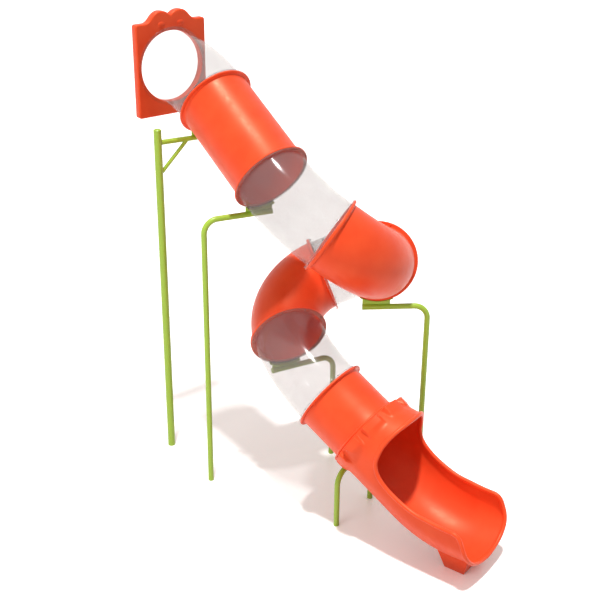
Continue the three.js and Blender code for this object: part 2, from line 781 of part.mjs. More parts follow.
// The brace from the post up to the arm, coped at both ends.
function tallPostBrace() {
  const low = new THREE.Vector3(TALL_POST_REACH, 0, -BRACE_DROP);
  const high = new THREE.Vector3(TALL_POST_REACH - BRACE_REACH, 0, 0);
  const length = low.distanceTo(high);
  const pipe = turned(pipeOutline([0, length], BRACE_RADIUS, BRACE_WALL), PIPE_SIDES);
  const frame = placed(low, high.clone().sub(low), UP);
  pipe.applyMatrix4(frame.matrix);
  const arm = rod(ARM_RADIUS + SEAT_GAP, -BRACE_REACH, TALL_POST_REACH, PIPE_SIDES);
  return surface(solid(pipe).subtract(solid(postBlank())).subtract(solid(arm)));
}

// The inverted U that straddles the line of the exit, built in its arm frame.
function exitFrame(frame) {
  const height = frame.position.z;
  const route = new Route([
    { run: height - FRAME_BEND },
    { radius: FRAME_BEND, turn: 90 },
    { run: 2 * (FRAME_HALF_WIDTH - FRAME_BEND) },
    { radius: FRAME_BEND, turn: 90 },
    { run: height - FRAME_BEND },
  ]);
  const pipe = routedPipe(route, FRAME_RADIUS, PIPE_WALL);
  pipe.rotateY(-Math.PI / 2);
  return pipe.translate(FRAME_HALF_WIDTH + FRAME_SHIFT, 0, -height);
}

// The tube sections from the entrance down, with the dip of each bend's plane.
const TUBE_COURSE = [
  { name: 'clear_elbow_1', route: LONG_BEND, dip: CLEAR_ELBOW_1_DIP_ANGLE },
  { name: 'red_tube_1', route: LONG_TUBE, dip: 0 },
  { name: 'clear_elbow_2', route: LONG_BEND, dip: CLEAR_ELBOW_2_DIP_ANGLE },
  { name: 'red_elbow_1', route: TIGHT_BEND, dip: RED_ELBOW_1_DIP_ANGLE },
  { name: 'clear_elbow_3', route: TIGHT_BEND, dip: CLEAR_ELBOW_3_DIP_ANGLE },
  { name: 'red_elbow_2', route: TIGHT_BEND, dip: RED_ELBOW_2_DIP_ANGLE },
  { name: 'clear_elbow_4', route: LONG_BEND, dip: CLEAR_ELBOW_4_DIP_ANGLE },
  { name: 'red_tube_2', route: SHORT_TUBE, dip: 0 },
];

// The joints along the tube when the hole's centre is at a height.
function courseJoints(height) {
  const joints = [new Joint(new THREE.Vector3(0, 0, height), new THREE.Vector3(0, -1, 0))];
  for (const { route, dip } of TUBE_COURSE) {
    joints.push(nextJoint(joints.at(-1).frame(dip), route));
  }
  return joints;
}

// The group of the exit section, which carries on from the last joint.
function exitGroup(last) {
  return placed(last.centre, last.forward, last.top);
}

// How high the hole's centre has to be for the exit's lip to end at its own height.
function entranceHeight() {
  const drop = nextJoint(exitGroup(courseJoints(0).at(-1)), EXIT_ROUTE).centre.z;
  return LIP_HEIGHT - drop;
}

// The tube sections, each in its own group at its upper joint.
function tubeSections(joints) {
  const sections = new Map([
    [LONG_BEND, clearSection(LONG_BEND, LONG_BEND_STEPS)],
    [LONG_TUBE, redSection(LONG_TUBE, 1)],
    [SHORT_TUBE, redSection(SHORT_TUBE, 1)],
  ]);
  const redBend = redSection(TIGHT_BEND, TIGHT_BEND_STEPS);
  const clearBend = clearSection(TIGHT_BEND, TIGHT_BEND_STEPS);
  return TUBE_COURSE.map(({ name, route, dip }, i) => {
    const clear = name.startsWith('clear');
    const geometry = sections.get(route) ?? (clear ? clearBend : redBend);
    const frame = joints[i].frame(dip);
    frame.add(mesh(name, geometry, clear ? CLEAR_PLASTIC : RED_PLASTIC));
    return frame;
  });
}

// The whole slide, with the entrance hole's centre over the origin.
function buildSlide() {
  const slide = new THREE.Group();
  const joints = courseJoints(entranceHeight());
  slide.add(...tubeSections(joints));

  const panel = new THREE.Group();
  panel.position.copy(joints[0].centre);
  panel.add(mesh('entrance_panel', entrancePanel(), RED_PLASTIC));
  slide.add(panel);

  const last = joints.at(-1);
  const exit = exitGroup(last);
  exit.add(mesh('exit_section', exitSection(), RED_PLASTIC));
  slide.add(exit);

  const level = last.forward.clone().setZ(0).normalize();
  const foot = placed(last.centre.clone().setZ(0).addScaledVector(level, FOOT_CENTRE), level, UP);
  const chute = chuteFilling().applyMatrix4(exit.matrix).applyMatrix4(foot.matrix.clone().invert());
  foot.add(mesh('exit_foot', exitFoot(LIP_HEIGHT, solid(chute)), RED_PLASTIC));
  slide.add(foot);

  const tall = armFrame(joints[1], -1, TALL_POST_SWING_ANGLE, ARM_RADIUS);
  tall.add(mesh('tall_post', tallPost(tall), GREEN_STEEL));
  tall.add(mesh('tall_post_cap', postCap(), GREEN_STEEL));
  tall.add(mesh('tall_post_arm', tallPostArm(), GREEN_STEEL));
  tall.add(mesh('tall_post_brace', tallPostBrace(), GREEN_STEEL));
  slide.add(tall, cradle(1, joints[1], tall, ARM_RADIUS));

  const second = armFrame(joints[2], -1, POST_2_SWING_ANGLE, PIPE_RADIUS);
  second.add(mesh('bent_post_2', bentPost(second, POST_2_REACH), GREEN_STEEL));
  slide.add(second, cradle(2, joints[2], second, PIPE_RADIUS));

  const third = armFrame(joints[4], -1, POST_3_SWING_ANGLE, PIPE_RADIUS);
  third.add(mesh('bent_post_3', bentPost(third, POST_3_REACH), GREEN_STEEL));
  slide.add(third, cradle(3, joints[4], third, PIPE_RADIUS));

  const fourth = armFrame(joints[6], 1, POST_4_SWING_ANGLE, PIPE_RADIUS);
  fourth.add(mesh('bent_post_4', bentPost(fourth, POST_4_REACH), GREEN_STEEL));
  slide.add(fourth, cradle(4, joints[6], fourth, PIPE_RADIUS));

  const collar = new Joint(last.centre.clone().addScaledVector(last.forward, FRAME_ADVANCE), last.forward);
  const straddle = armFrame(collar, 1, 0, FRAME_RADIUS);
  straddle.add(mesh('exit_frame', exitFrame(straddle), GREEN_STEEL));
  slide.add(straddle, cradle(5, collar, straddle, FRAME_RADIUS));
  return slide;
}

const group = new THREE.Group();
const slide = buildSlide();
const middle = new THREE.Box3().setFromObject(slide, true).getCenter(new THREE.Vector3());
slide.position.set(-middle.x, -middle.y, 0);
group.add(slide);

export default group;
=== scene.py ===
# %% [markdown]
# # A playground tube slide
#
# The object is a spiral tube slide: red moulded sections and clear sections bolted flange to
# flange, an entrance panel at the top, a hooded exit at the foot and green steel posts. The
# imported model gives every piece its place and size. This lesson dresses it: smooth skins on
# the tubes and pipes, a moulded exit, rounded edges on the small plates, fasteners, and a
# material for each real finish.

import math

import bmesh
import bpy
import numpy as np
from mathutils import Matrix, Vector


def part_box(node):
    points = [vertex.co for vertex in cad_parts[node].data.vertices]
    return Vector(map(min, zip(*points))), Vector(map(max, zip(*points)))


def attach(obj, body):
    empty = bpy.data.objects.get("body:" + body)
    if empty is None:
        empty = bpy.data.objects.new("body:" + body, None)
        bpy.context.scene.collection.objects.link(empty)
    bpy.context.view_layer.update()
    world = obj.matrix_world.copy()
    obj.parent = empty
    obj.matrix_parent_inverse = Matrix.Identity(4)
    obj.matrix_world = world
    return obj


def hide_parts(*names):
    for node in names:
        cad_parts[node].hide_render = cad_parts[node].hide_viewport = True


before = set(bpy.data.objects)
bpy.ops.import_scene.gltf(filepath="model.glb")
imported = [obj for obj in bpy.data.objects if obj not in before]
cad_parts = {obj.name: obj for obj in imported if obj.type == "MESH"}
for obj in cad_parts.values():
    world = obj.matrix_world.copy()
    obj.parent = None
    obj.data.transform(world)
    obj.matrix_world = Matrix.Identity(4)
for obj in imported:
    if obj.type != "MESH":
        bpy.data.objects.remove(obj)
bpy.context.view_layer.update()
print("nodes", len(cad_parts))

# %% [markdown]
# Blender's nodes are the same idea in a material and in a geometry tree: a box with settings
# and sockets. One helper adds a node, sets it, and fills each input with a value or with a
# link from another node's output. Every tree below is written with it.

# %% A helper for nodes


def node(tree, kind, inputs=None, **settings):
    """Adds a node. An input takes a plain value or another node's output socket."""
    made = tree.nodes.new(kind)
    for setting, value in settings.items():
        setattr(made, setting, value)
    for key, value in (inputs or {}).items():
        socket = made.inputs[key]
        if isinstance(value, bpy.types.NodeSocket):
            tree.links.new(value, socket)
        else:
            socket.default_value = value
    return made


# %% Helpers for colours and materials


def linear(code, alpha=1.0):
    """An sRGB hex colour as the linear values that Blender's sockets hold."""
    values = [int(code[i : i + 2], 16) / 255 for i in (1, 3, 5)]
    curve = [v / 12.92 if v <= 0.04045 else ((v + 0.055) / 1.055) ** 2.4 for v in values]
    return (*curve, alpha)


def material(name):
    """An empty material with its shader and output, ready for its own nodes."""
    made = bpy.data.materials.new(name)
    made.use_nodes = True
    tree = made.node_tree
    tree.nodes.clear()
    shader = node(tree, "ShaderNodeBsdfPrincipled")
    node(tree, "ShaderNodeOutputMaterial", {"Surface": shader.outputs[0]})
    return made, tree, shader


# %% [markdown]
# ## Red sections: rotomoulded polyethylene
#
# The red pieces are linear low-density polyethylene, tumbled as powder in a hot steel mould.
# The skin copies the mould's fine blasting, so it has a satin gloss with a faint orange peel,
# and the pigment clouds a little over a hand's width. Polyethylene's index of refraction is
# 1.51, but the blasted skin scatters part of its shine, so the specular level is lower, and
# what it reflects comes back warm, as the orange highlights in the photograph show.
# Three noises do this: broad clouds in the colour, patches in the gloss, and the peel
# in the bump. The real peel is 2 to 3 mm; it is drawn at 9 mm so that it shows from here.

# %% Rotomoulded polyethylene
PEEL_SIZE = 0.009
PATCH_SIZE = 0.07
CLOUD_SIZE = 0.22
SKIN_SHINE = 0.45


def rotomoulded_polyethylene(name, colour, paler):
    """Satin moulded plastic between a pigment's colour and a slightly paler one."""
    made, tree, shader = material(name)
    place = node(tree, "ShaderNodeTexCoord").outputs["Object"]
    clouds = node(tree, "ShaderNodeTexNoise", {
        "Vector": place, "Scale": 1 / CLOUD_SIZE, "Detail": 3.0, "Roughness": 0.5,
    })
    spread = node(tree, "ShaderNodeMapRange", {
        "Value": clouds.outputs["Fac"], "From Min": 0.35, "From Max": 0.65,
    })
    tint = node(tree, "ShaderNodeMix", data_type="RGBA")
    tree.links.new(spread.outputs["Result"], tint.inputs["Factor"])
    tint.inputs["A"].default_value = linear(colour)
    tint.inputs["B"].default_value = linear(paler)
    patches = node(tree, "ShaderNodeTexNoise", {
        "Vector": place, "Scale": 1 / PATCH_SIZE, "Detail": 4.0, "Roughness": 0.6,
    })
    gloss = node(tree, "ShaderNodeMapRange", {
        "Value": patches.outputs["Fac"], "From Min": 0.3, "From Max": 0.7,
        "To Min": 0.36, "To Max": 0.46,
    })
    peel = node(tree, "ShaderNodeTexNoise", {
        "Vector": place, "Scale": 1 / PEEL_SIZE, "Detail": 2.0, "Roughness": 0.5,
    })
    bump = node(tree, "ShaderNodeBump", {
        "Height": peel.outputs["Fac"], "Strength": 0.12, "Distance": 0.0008,
    })
    tree.links.new(tint.outputs["Result"], shader.inputs["Base Color"])
    tree.links.new(gloss.outputs["Result"], shader.inputs["Roughness"])
    tree.links.new(bump.outputs["Normal"], shader.inputs["Normal"])
    shader.inputs["IOR"].default_value = 1.51
    shader.inputs["Specular IOR Level"].default_value = SKIN_SHINE
    shader.inputs["Specular Tint"].default_value = linear("#ffdab4")
    return made


red_plastic = rotomoulded_polyethylene("rotomoulded_polyethylene_red", "#ee4923", "#f25028")
print(red_plastic.name, len(red_plastic.node_tree.nodes), "nodes")

# %% [markdown]
# ## Clear sections: formed polycarbonate
#
# The clear sections are polycarbonate, blown or drawn in a mould. Clean sheet bends light,
# but outdoors a thick formed wall goes slightly milky with fine scuffs from shoes and
# clothes, and shows as a pale veil over what lies behind. A full glass shader would darken
# the walls and is slow, so the wall is a gloss coat with a low alpha. The scuffs are a
# stretched noise that makes the veil a little denser. Its index of refraction is 1.585.

# %% Formed polycarbonate
WALL_VEIL = 0.19
SCUFF_VEIL = 0.21
SCUFF_SIZE = 0.12

clear_plastic, tree, clear_shader = material("formed_polycarbonate_clear")
place = node(tree, "ShaderNodeTexCoord").outputs["Object"]
stretch = node(tree, "ShaderNodeMapping", {"Vector": place, "Scale": (1.0, 0.35, 0.6)})
scuffs = node(tree, "ShaderNodeTexNoise", {
    "Vector": stretch.outputs["Vector"], "Scale": 1 / SCUFF_SIZE,
    "Detail": 6.0, "Roughness": 0.62,
})
veil = node(tree, "ShaderNodeMapRange", {
    "Value": scuffs.outputs["Fac"], "From Min": 0.35, "From Max": 0.72,
    "To Min": WALL_VEIL, "To Max": SCUFF_VEIL,
})
haze = node(tree, "ShaderNodeMapRange", {
    "Value": scuffs.outputs["Fac"], "From Min": 0.3, "From Max": 0.75,
    "To Min": 0.07, "To Max": 0.18,
})
tree.links.new(veil.outputs["Result"], clear_shader.inputs["Alpha"])
tree.links.new(haze.outputs["Result"], clear_shader.inputs["Roughness"])
clear_shader.inputs["Base Color"].default_value = linear("#989290")
clear_shader.inputs["IOR"].default_value = 1.585
print(clear_plastic.name, "veil", WALL_VEIL, "to", SCUFF_VEIL)

# %% [markdown]
# ## Posts: powder-coated steel
#
# The posts are round steel tube, sprayed with polyester powder and baked. The coat is a few
# tenths of a millimetre thick with a fine ripple, satin, and a touch duller where hands and
# weather reach it. The coat is a dielectric over the metal, so Metallic stays 0. The real
# ripple is about 1 mm; it is drawn at 4 mm.

# %% Powder-coated steel
RIPPLE_SIZE = 0.004
WEATHER_SIZE = 0.15

green_steel, tree, shader = material("powder_coated_steel_lime")
place = node(tree, "ShaderNodeTexCoord").outputs["Object"]
weather = node(tree, "ShaderNodeTexNoise", {
    "Vector": place, "Scale": 1 / WEATHER_SIZE, "Detail": 5.0, "Roughness": 0.6,
})
tint = node(tree, "ShaderNodeMix", data_type="RGBA")
tree.links.new(weather.outputs["Fac"], tint.inputs["Factor"])
tint.inputs["A"].default_value = linear("#9dbd38")
tint.inputs["B"].default_value = linear("#a6c540")
dulling = node(tree, "ShaderNodeMapRange", {
    "Value": weather.outputs["Fac"], "From Min": 0.3, "From Max": 0.7,
    "To Min": 0.3, "To Max": 0.42,
})
ripple = node(tree, "ShaderNodeTexNoise", {
    "Vector": place, "Scale": 1 / RIPPLE_SIZE, "Detail": 1.0,
})
bump = node(tree, "ShaderNodeBump", {
    "Height": ripple.outputs["Fac"], "Strength": 0.1, "Distance": 0.0004,
})
tree.links.new(tint.outputs["Result"], shader.inputs["Base Color"])
tree.links.new(dulling.outputs["Result"], shader.inputs["Roughness"])
tree.links.new(bump.outputs["Normal"], shader.inputs["Normal"])
print(green_steel.name, len(tree.nodes), "nodes")

# %% [markdown]
# ## From a tree to a piece
#
# A geometry tree runs as a modifier on a small seed mesh. Its inputs are set by each
# socket's identifier before the object is first evaluated. The result is taken as a plain
# mesh, moved to its place, and the seed is thrown away. Every finished piece sits at the
# origin with its place in its mesh.

# %% Helpers for a geometry tree
GEOMETRY = "NodeSocketGeometry"
NUMBER = "NodeSocketFloat"
COUNT = "NodeSocketInt"


def geometry_tree(name, inputs):
    """A new geometry tree with named inputs and a material input, and its input node."""
    tree = bpy.data.node_groups.new(name, "GeometryNodeTree")
    tree.interface.new_socket("Geometry", in_out="INPUT", socket_type=GEOMETRY)
    tree.interface.new_socket("Geometry", in_out="OUTPUT", socket_type=GEOMETRY)
    for title, kind in inputs.items():
        tree.interface.new_socket(title, in_out="INPUT", socket_type=kind)
    tree.interface.new_socket("Material", in_out="INPUT", socket_type="NodeSocketMaterial")
    return tree, tree.nodes.new("NodeGroupInput")


def close_tree(tree, given, geometry):
    """Ends a tree in Realize Instances and Set Material."""
    real = node(tree, "GeometryNodeRealizeInstances", {"Geometry": geometry})
    painted = node(tree, "GeometryNodeSetMaterial", {
        "Geometry": real.outputs[0], "Material": given.outputs["Material"],
    })
    node(tree, "NodeGroupOutput", {0: painted.outputs[0]})


# %% Helpers that turn an object into a mesh


def link(name, mesh):
    """An object in the scene that shows a mesh or a curve."""
    made = bpy.data.objects.new(name, mesh)
    bpy.context.scene.collection.objects.link(made)
    return made


def evaluated_mesh(source):
    """The object's mesh with its modifiers applied. The object is then removed."""
    bpy.context.view_layer.update()
    view = source.evaluated_get(bpy.context.evaluated_depsgraph_get())
    result = bpy.data.meshes.new_from_object(view)
    bpy.data.objects.remove(source)
    return result


def grow(tree, seed_mesh, place, **values):
    """Runs a tree on a seed mesh with the given inputs and moves the result to its place."""
    seed = link("seed", seed_mesh)
    modifier = seed.modifiers.new("tree", "NODES")
    modifier.node_group = tree
    for item in tree.interface.items_tree:
        if item.in_out == "INPUT" and item.name in values:
            modifier[item.identifier] = values[item.name]
    result = evaluated_mesh(seed)
    result.transform(place)
    return result


# %% Helpers for a finished piece


def smooth(mesh, angle=40):
    """Smooth shading, with the edges that turn more than the angle kept sharp."""
    mesh.shade_smooth()
    mesh.set_sharp_from_angle(angle=math.radians(angle))
    return mesh


def piece(name, mesh, slot, *nodes):
    """A finished piece: it rides with the slide and stands for its plain nodes."""
    mesh.name = name
    made = link(name, mesh)
    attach(made, "root")
    if nodes:
        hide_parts(*nodes)
    return made


def joined(name, meshes):
    """One mesh out of several that share a material."""
    work = bmesh.new()
    for mesh in meshes:
        work.from_mesh(mesh)
    result = bpy.data.meshes.new(name)
    work.to_mesh(result)
    work.free()
    for mat in meshes[0].materials:
        result.materials.append(mat)
    return result


# %% [markdown]
# ## The route
#
# The joints between the sections set the place of everything else. Each section is a
# straight or a plain bend, and its bend plane dips by some degrees from level. The route is
# walked once from the panel's hole and gives a matrix for each section: local X runs down
# the tube and local Z points to the inside of the bend.

# %% Sizes of the tube
BORE = 0.381
PLASTIC_WALL = 0.008
CLEAR_WALL = 0.006
FLANGE_RADIUS = 0.430
PLASTIC_FLANGE = 0.024
CLEAR_FLANGE = 0.012
SEAT_GAP = 0.0003
UP = Vector((0, 0, 1))

SECTIONS = [
    # name, finish, bend radius or length, turn in degrees, dip in degrees
    ("clear_elbow_1", "clear", 1.55, 31.5, 90),
    ("red_tube_1", "red", 1.15, 0, 0),
    ("clear_elbow_2", "clear", 1.55, 31.5, 13.1),
    ("red_elbow_1", "red", 0.6, 92.5, 17.4),
    ("clear_elbow_3", "clear", 0.6, 92.5, 24.1),
    ("red_elbow_2", "red", 0.6, 92.5, 24.9),
    ("clear_elbow_4", "clear", 1.55, 31.5, 23.5),
    ("red_tube_2", "red", 0.55, 0, 0),
]
print("sections", len(SECTIONS))

# %% Helpers for the route


def placed(origin, along_x, along_z):
    """A matrix whose X and Z axes lie along the given directions."""
    x = along_x.normalized()
    y = along_z.cross(x).normalized()
    z = x.cross(y)
    turned = Matrix((x, y, z)).transposed().to_4x4()
    return Matrix.Translation(origin) @ turned


def joint_axes(forward):
    """The tube's left and top where it runs forward."""
    left = UP.cross(forward).normalized()
    return left, forward.cross(left)


def along(size, turn, station):
    """Where a section's own centre line is, as x, z and heading, at a station."""
    if turn == 0:
        return station, 0.0, 0.0
    angle = station / size
    return size * math.sin(angle), size * (1 - math.cos(angle)), angle


# %% Walk the route
PANEL_BELOW, PANEL_THICKNESS = 0.535, 0.094

panel_low, panel_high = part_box("entrance_panel")
panel_face = panel_high.y - PANEL_THICKNESS
hole = Vector(((panel_low.x + panel_high.x) / 2, panel_face, panel_low.z + PANEL_BELOW))
joints = [(hole, Vector((0, -1, 0)))]
places = {}
lengths = {}
for name, finish, size, turn, dip in SECTIONS:
    centre, forward = joints[-1]
    left, top = joint_axes(forward)
    bends_to = left * math.cos(math.radians(dip)) - top * math.sin(math.radians(dip))
    places[name] = placed(centre, forward, bends_to)
    lengths[name] = size if turn == 0 else size * math.radians(turn)
    x, z, angle = along(size, turn, lengths[name])
    heading = places[name].to_3x3() @ Vector((math.cos(angle), 0, math.sin(angle)))
    joints.append((places[name] @ Vector((x, 0, z)), heading))
print("last joint", [round(v, 4) for v in joints[-1][0]])

# %% [markdown]
# The first clear flange lies flat on the entrance panel, where no shoe or sleeve scuffs it,
# and the panel's red shows through it almost untouched. So the veil thins there: a mask on
# the Object coordinates starts at the flange's front and ends at the panel's face.

# %% A clean flange on the panel
CLEAN_SHARE = 0.2
MASK_FADE = 0.002

flange_front = panel_face - CLEAR_FLANGE
tree = clear_plastic.node_tree
place = node(tree, "ShaderNodeTexCoord").outputs["Object"]
depth = node(tree, "ShaderNodeSeparateXYZ", {"Vector": place}).outputs["Y"]
thinned = node(tree, "ShaderNodeMapRange", {
    "Value": depth, "From Min": flange_front - MASK_FADE, "From Max": flange_front,
    "To Min": 1.0, "To Max": CLEAN_SHARE,
})
opacity = node(tree, "ShaderNodeMath", {
    0: veil.outputs["Result"], 1: thinned.outputs["Result"],
}, operation="MULTIPLY")
tree.links.new(opacity.outputs[0], clear_shader.inputs["Alpha"])
print("veil on the first flange", round(WALL_VEIL * CLEAN_SHARE, 3))

# %% [markdown]
# ## Tube sections
#
# A section is a tube with a flange moulded on each end. Its shape follows one rule: half an
# outline of radius against station, turned round the axis, with the axis then bent. So one
# geometry tree makes all eight. The seed mesh is the outline. The tree lays a grid over it,
# takes each row's radius and station from the outline by index, wraps the row into a ring
# and moves the ring along the bend. More sides and rows than the plain model has give a
# round silhouette, and the flange's edges get a real rounding.

# %% A grid over the outline
MERGE_WITHIN = 0.00002

section_tree, given = geometry_tree("flanged_section", {
    "Sides": COUNT, "Curvature": NUMBER,
})
tree = section_tree
outline_size = node(tree, "GeometryNodeAttributeDomainSize", {
    "Geometry": given.outputs["Geometry"],
}, component="MESH")
rows = node(tree, "ShaderNodeMath", {
    0: outline_size.outputs["Point Count"], 1: 1.0,
}, operation="ADD")
columns = node(tree, "ShaderNodeMath", {
    0: given.outputs["Sides"], 1: 1.0,
}, operation="ADD")
sheet = node(tree, "GeometryNodeMeshGrid", {
    "Size X": 1.0, "Size Y": 1.0,
    "Vertices X": columns.outputs[0], "Vertices Y": rows.outputs[0],
})

# %% Station, radius and angle of each point
spot = node(tree, "ShaderNodeSeparateXYZ", {
    0: node(tree, "GeometryNodeInputPosition").outputs[0],
})
around = node(tree, "ShaderNodeMath", {0: spot.outputs["X"], 1: 0.5}, operation="ADD")
theta = node(tree, "ShaderNodeMath", {
    0: around.outputs[0], 1: math.tau,
}, operation="MULTIPLY")
down = node(tree, "ShaderNodeMath", {0: spot.outputs["Y"], 1: 0.5}, operation="ADD")
row = node(tree, "ShaderNodeMath", {
    0: down.outputs[0], 1: outline_size.outputs["Point Count"],
}, operation="MULTIPLY")
nearest = node(tree, "ShaderNodeMath", {0: row.outputs[0]}, operation="ROUND")
wrapped = node(tree, "ShaderNodeMath", {
    0: nearest.outputs[0], 1: outline_size.outputs["Point Count"],
}, operation="MODULO")
picked = node(tree, "GeometryNodeSampleIndex", {
    "Geometry": given.outputs["Geometry"],
    "Index": wrapped.outputs[0],
}, data_type="FLOAT_VECTOR", domain="POINT")
tree.links.new(
    node(tree, "GeometryNodeInputPosition").outputs[0], picked.inputs["Value"],
)
profile = node(tree, "ShaderNodeSeparateXYZ", {0: picked.outputs["Value"]})
station, radius = profile.outputs["X"], profile.outputs["Z"]

# %% [markdown]
# On a straight tube a point lies at its station, and the radius splits into a rise and a
# step to the side. On a bend the station over the bend's radius is the angle turned, and the
# rise brings the point nearer to the bend's centre. A switch picks one of the two, because
# a straight has no bend radius to divide by.

# %% Wrap the rows and bend the axis
cosine = node(tree, "ShaderNodeMath", {0: theta.outputs[0]}, operation="COSINE")
sine = node(tree, "ShaderNodeMath", {0: theta.outputs[0]}, operation="SINE")
rise = node(tree, "ShaderNodeMath", {0: radius, 1: cosine.outputs[0]}, operation="MULTIPLY")
side = node(tree, "ShaderNodeMath", {0: radius, 1: sine.outputs[0]}, operation="MULTIPLY")
turned_by = node(tree, "ShaderNodeMath", {
    0: station, 1: given.outputs["Curvature"],
}, operation="MULTIPLY")
bend_radius = node(tree, "ShaderNodeMath", {
    0: 1.0, 1: given.outputs["Curvature"],
}, operation="DIVIDE")
from_centre = node(tree, "ShaderNodeMath", {
    0: bend_radius.outputs[0], 1: rise.outputs[0],
}, operation="SUBTRACT")
turn_sine = node(tree, "ShaderNodeMath", {0: turned_by.outputs[0]}, operation="SINE")
turn_cosine = node(tree, "ShaderNodeMath", {0: turned_by.outputs[0]}, operation="COSINE")
bent_x = node(tree, "ShaderNodeMath", {
    0: from_centre.outputs[0], 1: turn_sine.outputs[0],
}, operation="MULTIPLY")
fallen = node(tree, "ShaderNodeMath", {
    0: from_centre.outputs[0], 1: turn_cosine.outputs[0],
}, operation="MULTIPLY")
bent_z = node(tree, "ShaderNodeMath", {
    0: bend_radius.outputs[0], 1: fallen.outputs[0],
}, operation="SUBTRACT")

# %% Choose the straight or the bent place
is_bent = node(tree, "FunctionNodeCompare", {
    0: given.outputs["Curvature"], 1: 0.001,
}, data_type="FLOAT", operation="GREATER_THAN")
straight = node(tree, "ShaderNodeCombineXYZ", {
    0: station, 1: side.outputs[0], 2: rise.outputs[0],
})
bent = node(tree, "ShaderNodeCombineXYZ", {
    0: bent_x.outputs[0], 1: side.outputs[0], 2: bent_z.outputs[0],
})
spot_on_tube = node(tree, "GeometryNodeSwitch", {
    "Switch": is_bent.outputs[0], "False": straight.outputs[0], "True": bent.outputs[0],
}, input_type="VECTOR")
tube = node(tree, "GeometryNodeSetPosition", {
    "Geometry": sheet.outputs["Mesh"], "Position": spot_on_tube.outputs[0],
})
sewn = node(tree, "GeometryNodeMergeByDistance", {
    "Geometry": tube.outputs[0], "Distance": MERGE_WITHIN,
})
close_tree(tree, given, sewn.outputs[0])
print(section_tree.name, len(tree.nodes), "nodes")

# %% [markdown]
# The outline comes from the same few sizes as the plain model: bore, wall, flange radius and
# flange thickness. A moulded flange has an edge radius and a fillet down to the wall, which
# a handful of points on an arc give. A line of stations along the wall lets it bend.

# %% The outline of a section
FILLET = 0.012
EDGE_SHARE = 0.45
ARC_STEPS = 5


def arc_points(centre, size, start, end):
    """Points on an arc as (station, radius), angles in degrees from +station."""
    angles = np.radians(np.linspace(start, end, ARC_STEPS))
    return [(centre[0] + size * math.cos(a), centre[1] + size * math.sin(a)) for a in angles]


def section_outline(length, wall, flange, steps):
    """The closed half outline of a flanged tube, from the bore's start round and back."""
    start = SEAT_GAP / 2
    end = length - SEAT_GAP / 2
    edge = flange * EDGE_SHARE
    outer = BORE + wall
    crown = FLANGE_RADIUS - edge
    wall_start, wall_end = start + flange + FILLET, end - flange - FILLET
    points = [(start, BORE), (start, (BORE + crown) / 2)]
    points += arc_points((start + edge, crown), edge, 180, 90)
    points += arc_points((start + flange - edge, crown), edge, 90, 0)
    points += arc_points((wall_start, outer + FILLET), FILLET, 180, 270)
    points += [(s, outer) for s in np.linspace(wall_start, wall_end, steps)[1:-1]]
    points += arc_points((wall_end, outer + FILLET), FILLET, 270, 360)
    points += arc_points((end - flange + edge, crown), edge, 180, 90)
    points += arc_points((end - edge, crown), edge, 90, 0)
    points += [(end, (BORE + crown) / 2), (end, BORE)]
    points += [(s, BORE) for s in np.linspace(end, start, steps + 4)[1:-1]]
    return points


def seed_line(points):
    """A mesh of loose points that holds an outline as X and Z."""
    mesh = bpy.data.meshes.new("outline")
    mesh.from_pydata([(s, 0, r) for s, r in points], [], [])
    return mesh


# %% [markdown]
# Each section is now one call: its outline, its place on the route, its curvature and its
# plastic. A bend gets a ring of points for every three degrees, so its silhouette stays
# round, while a straight needs only a few.

# %% Grow the eight sections
SIDES = 96
STRAIGHT_STEPS, LEAST_STEPS, DEGREES_PER_STEP = 4, 12, 3

for name, finish, size, turn, dip in SECTIONS:
    clear = finish == "clear"
    steps = max(LEAST_STEPS, round(turn / DEGREES_PER_STEP)) if turn else STRAIGHT_STEPS
    wall, flange = (CLEAR_WALL, CLEAR_FLANGE) if clear else (PLASTIC_WALL, PLASTIC_FLANGE)
    outline = section_outline(lengths[name], wall, flange, steps)
    mesh = grow(
        section_tree, seed_line(outline), places[name],
        Sides=SIDES, Curvature=1 / size if turn else 0.0,
        Material=clear_plastic if clear else red_plastic,
    )
    piece(f"{name}_skin", smooth(mesh), "clear_plastic" if clear else "red_plastic", name)
    print(name, len(mesh.vertices), "points")

# %% [markdown]
# ## Flange caps
#
# Each joint is clamped by a ring of screws through both flanges. Each screw head and each
# nut sits under a low moulded cap in its flange's own colour, which keeps clothing off the
# metal. A ring of equal things is just what instancing is for: a mesh circle gives the
# places, one dome is built at the origin, and each place gets a copy. The caps sit on the
# flat strip between the fillet and the rounded edge.

# %% The tree for a ring of caps
CAP_RADIUS = 0.0105

cap_tree, given = geometry_tree("cap_ring", {
    "Count": COUNT, "Ring Radius": NUMBER, "Face": NUMBER, "Height": NUMBER,
})
tree = cap_tree
dome = node(tree, "GeometryNodeMeshUVSphere", {
    "Segments": 20, "Rings": 10, "Radius": CAP_RADIUS,
})
flatter = node(tree, "ShaderNodeMath", {
    0: given.outputs["Height"], 1: CAP_RADIUS,
}, operation="DIVIDE")
cap = node(tree, "GeometryNodeTransform", {
    "Geometry": dome.outputs["Mesh"],
    "Translation": node(tree, "ShaderNodeCombineXYZ", {2: given.outputs["Face"]}).outputs[0],
    "Scale": node(tree, "ShaderNodeCombineXYZ", {
        0: 1.0, 1: 1.0, 2: flatter.outputs[0],
    }).outputs[0],
})
ring = node(tree, "GeometryNodeMeshCircle", {
    "Vertices": given.outputs["Count"], "Radius": given.outputs["Ring Radius"],
})
copies = node(tree, "GeometryNodeInstanceOnPoints", {
    "Points": ring.outputs["Mesh"], "Instance": cap.outputs[0],
})
close_tree(tree, given, copies.outputs[0])
print(cap_tree.name, len(tree.nodes), "nodes")

# %% [markdown]
# Each ring is placed by its joint: the tree's Z axis becomes the way up the tube. The near
# face is the back of the downstream flange and the far face is the upstream one's. The
# panel takes threaded inserts from behind, so it has no ring.

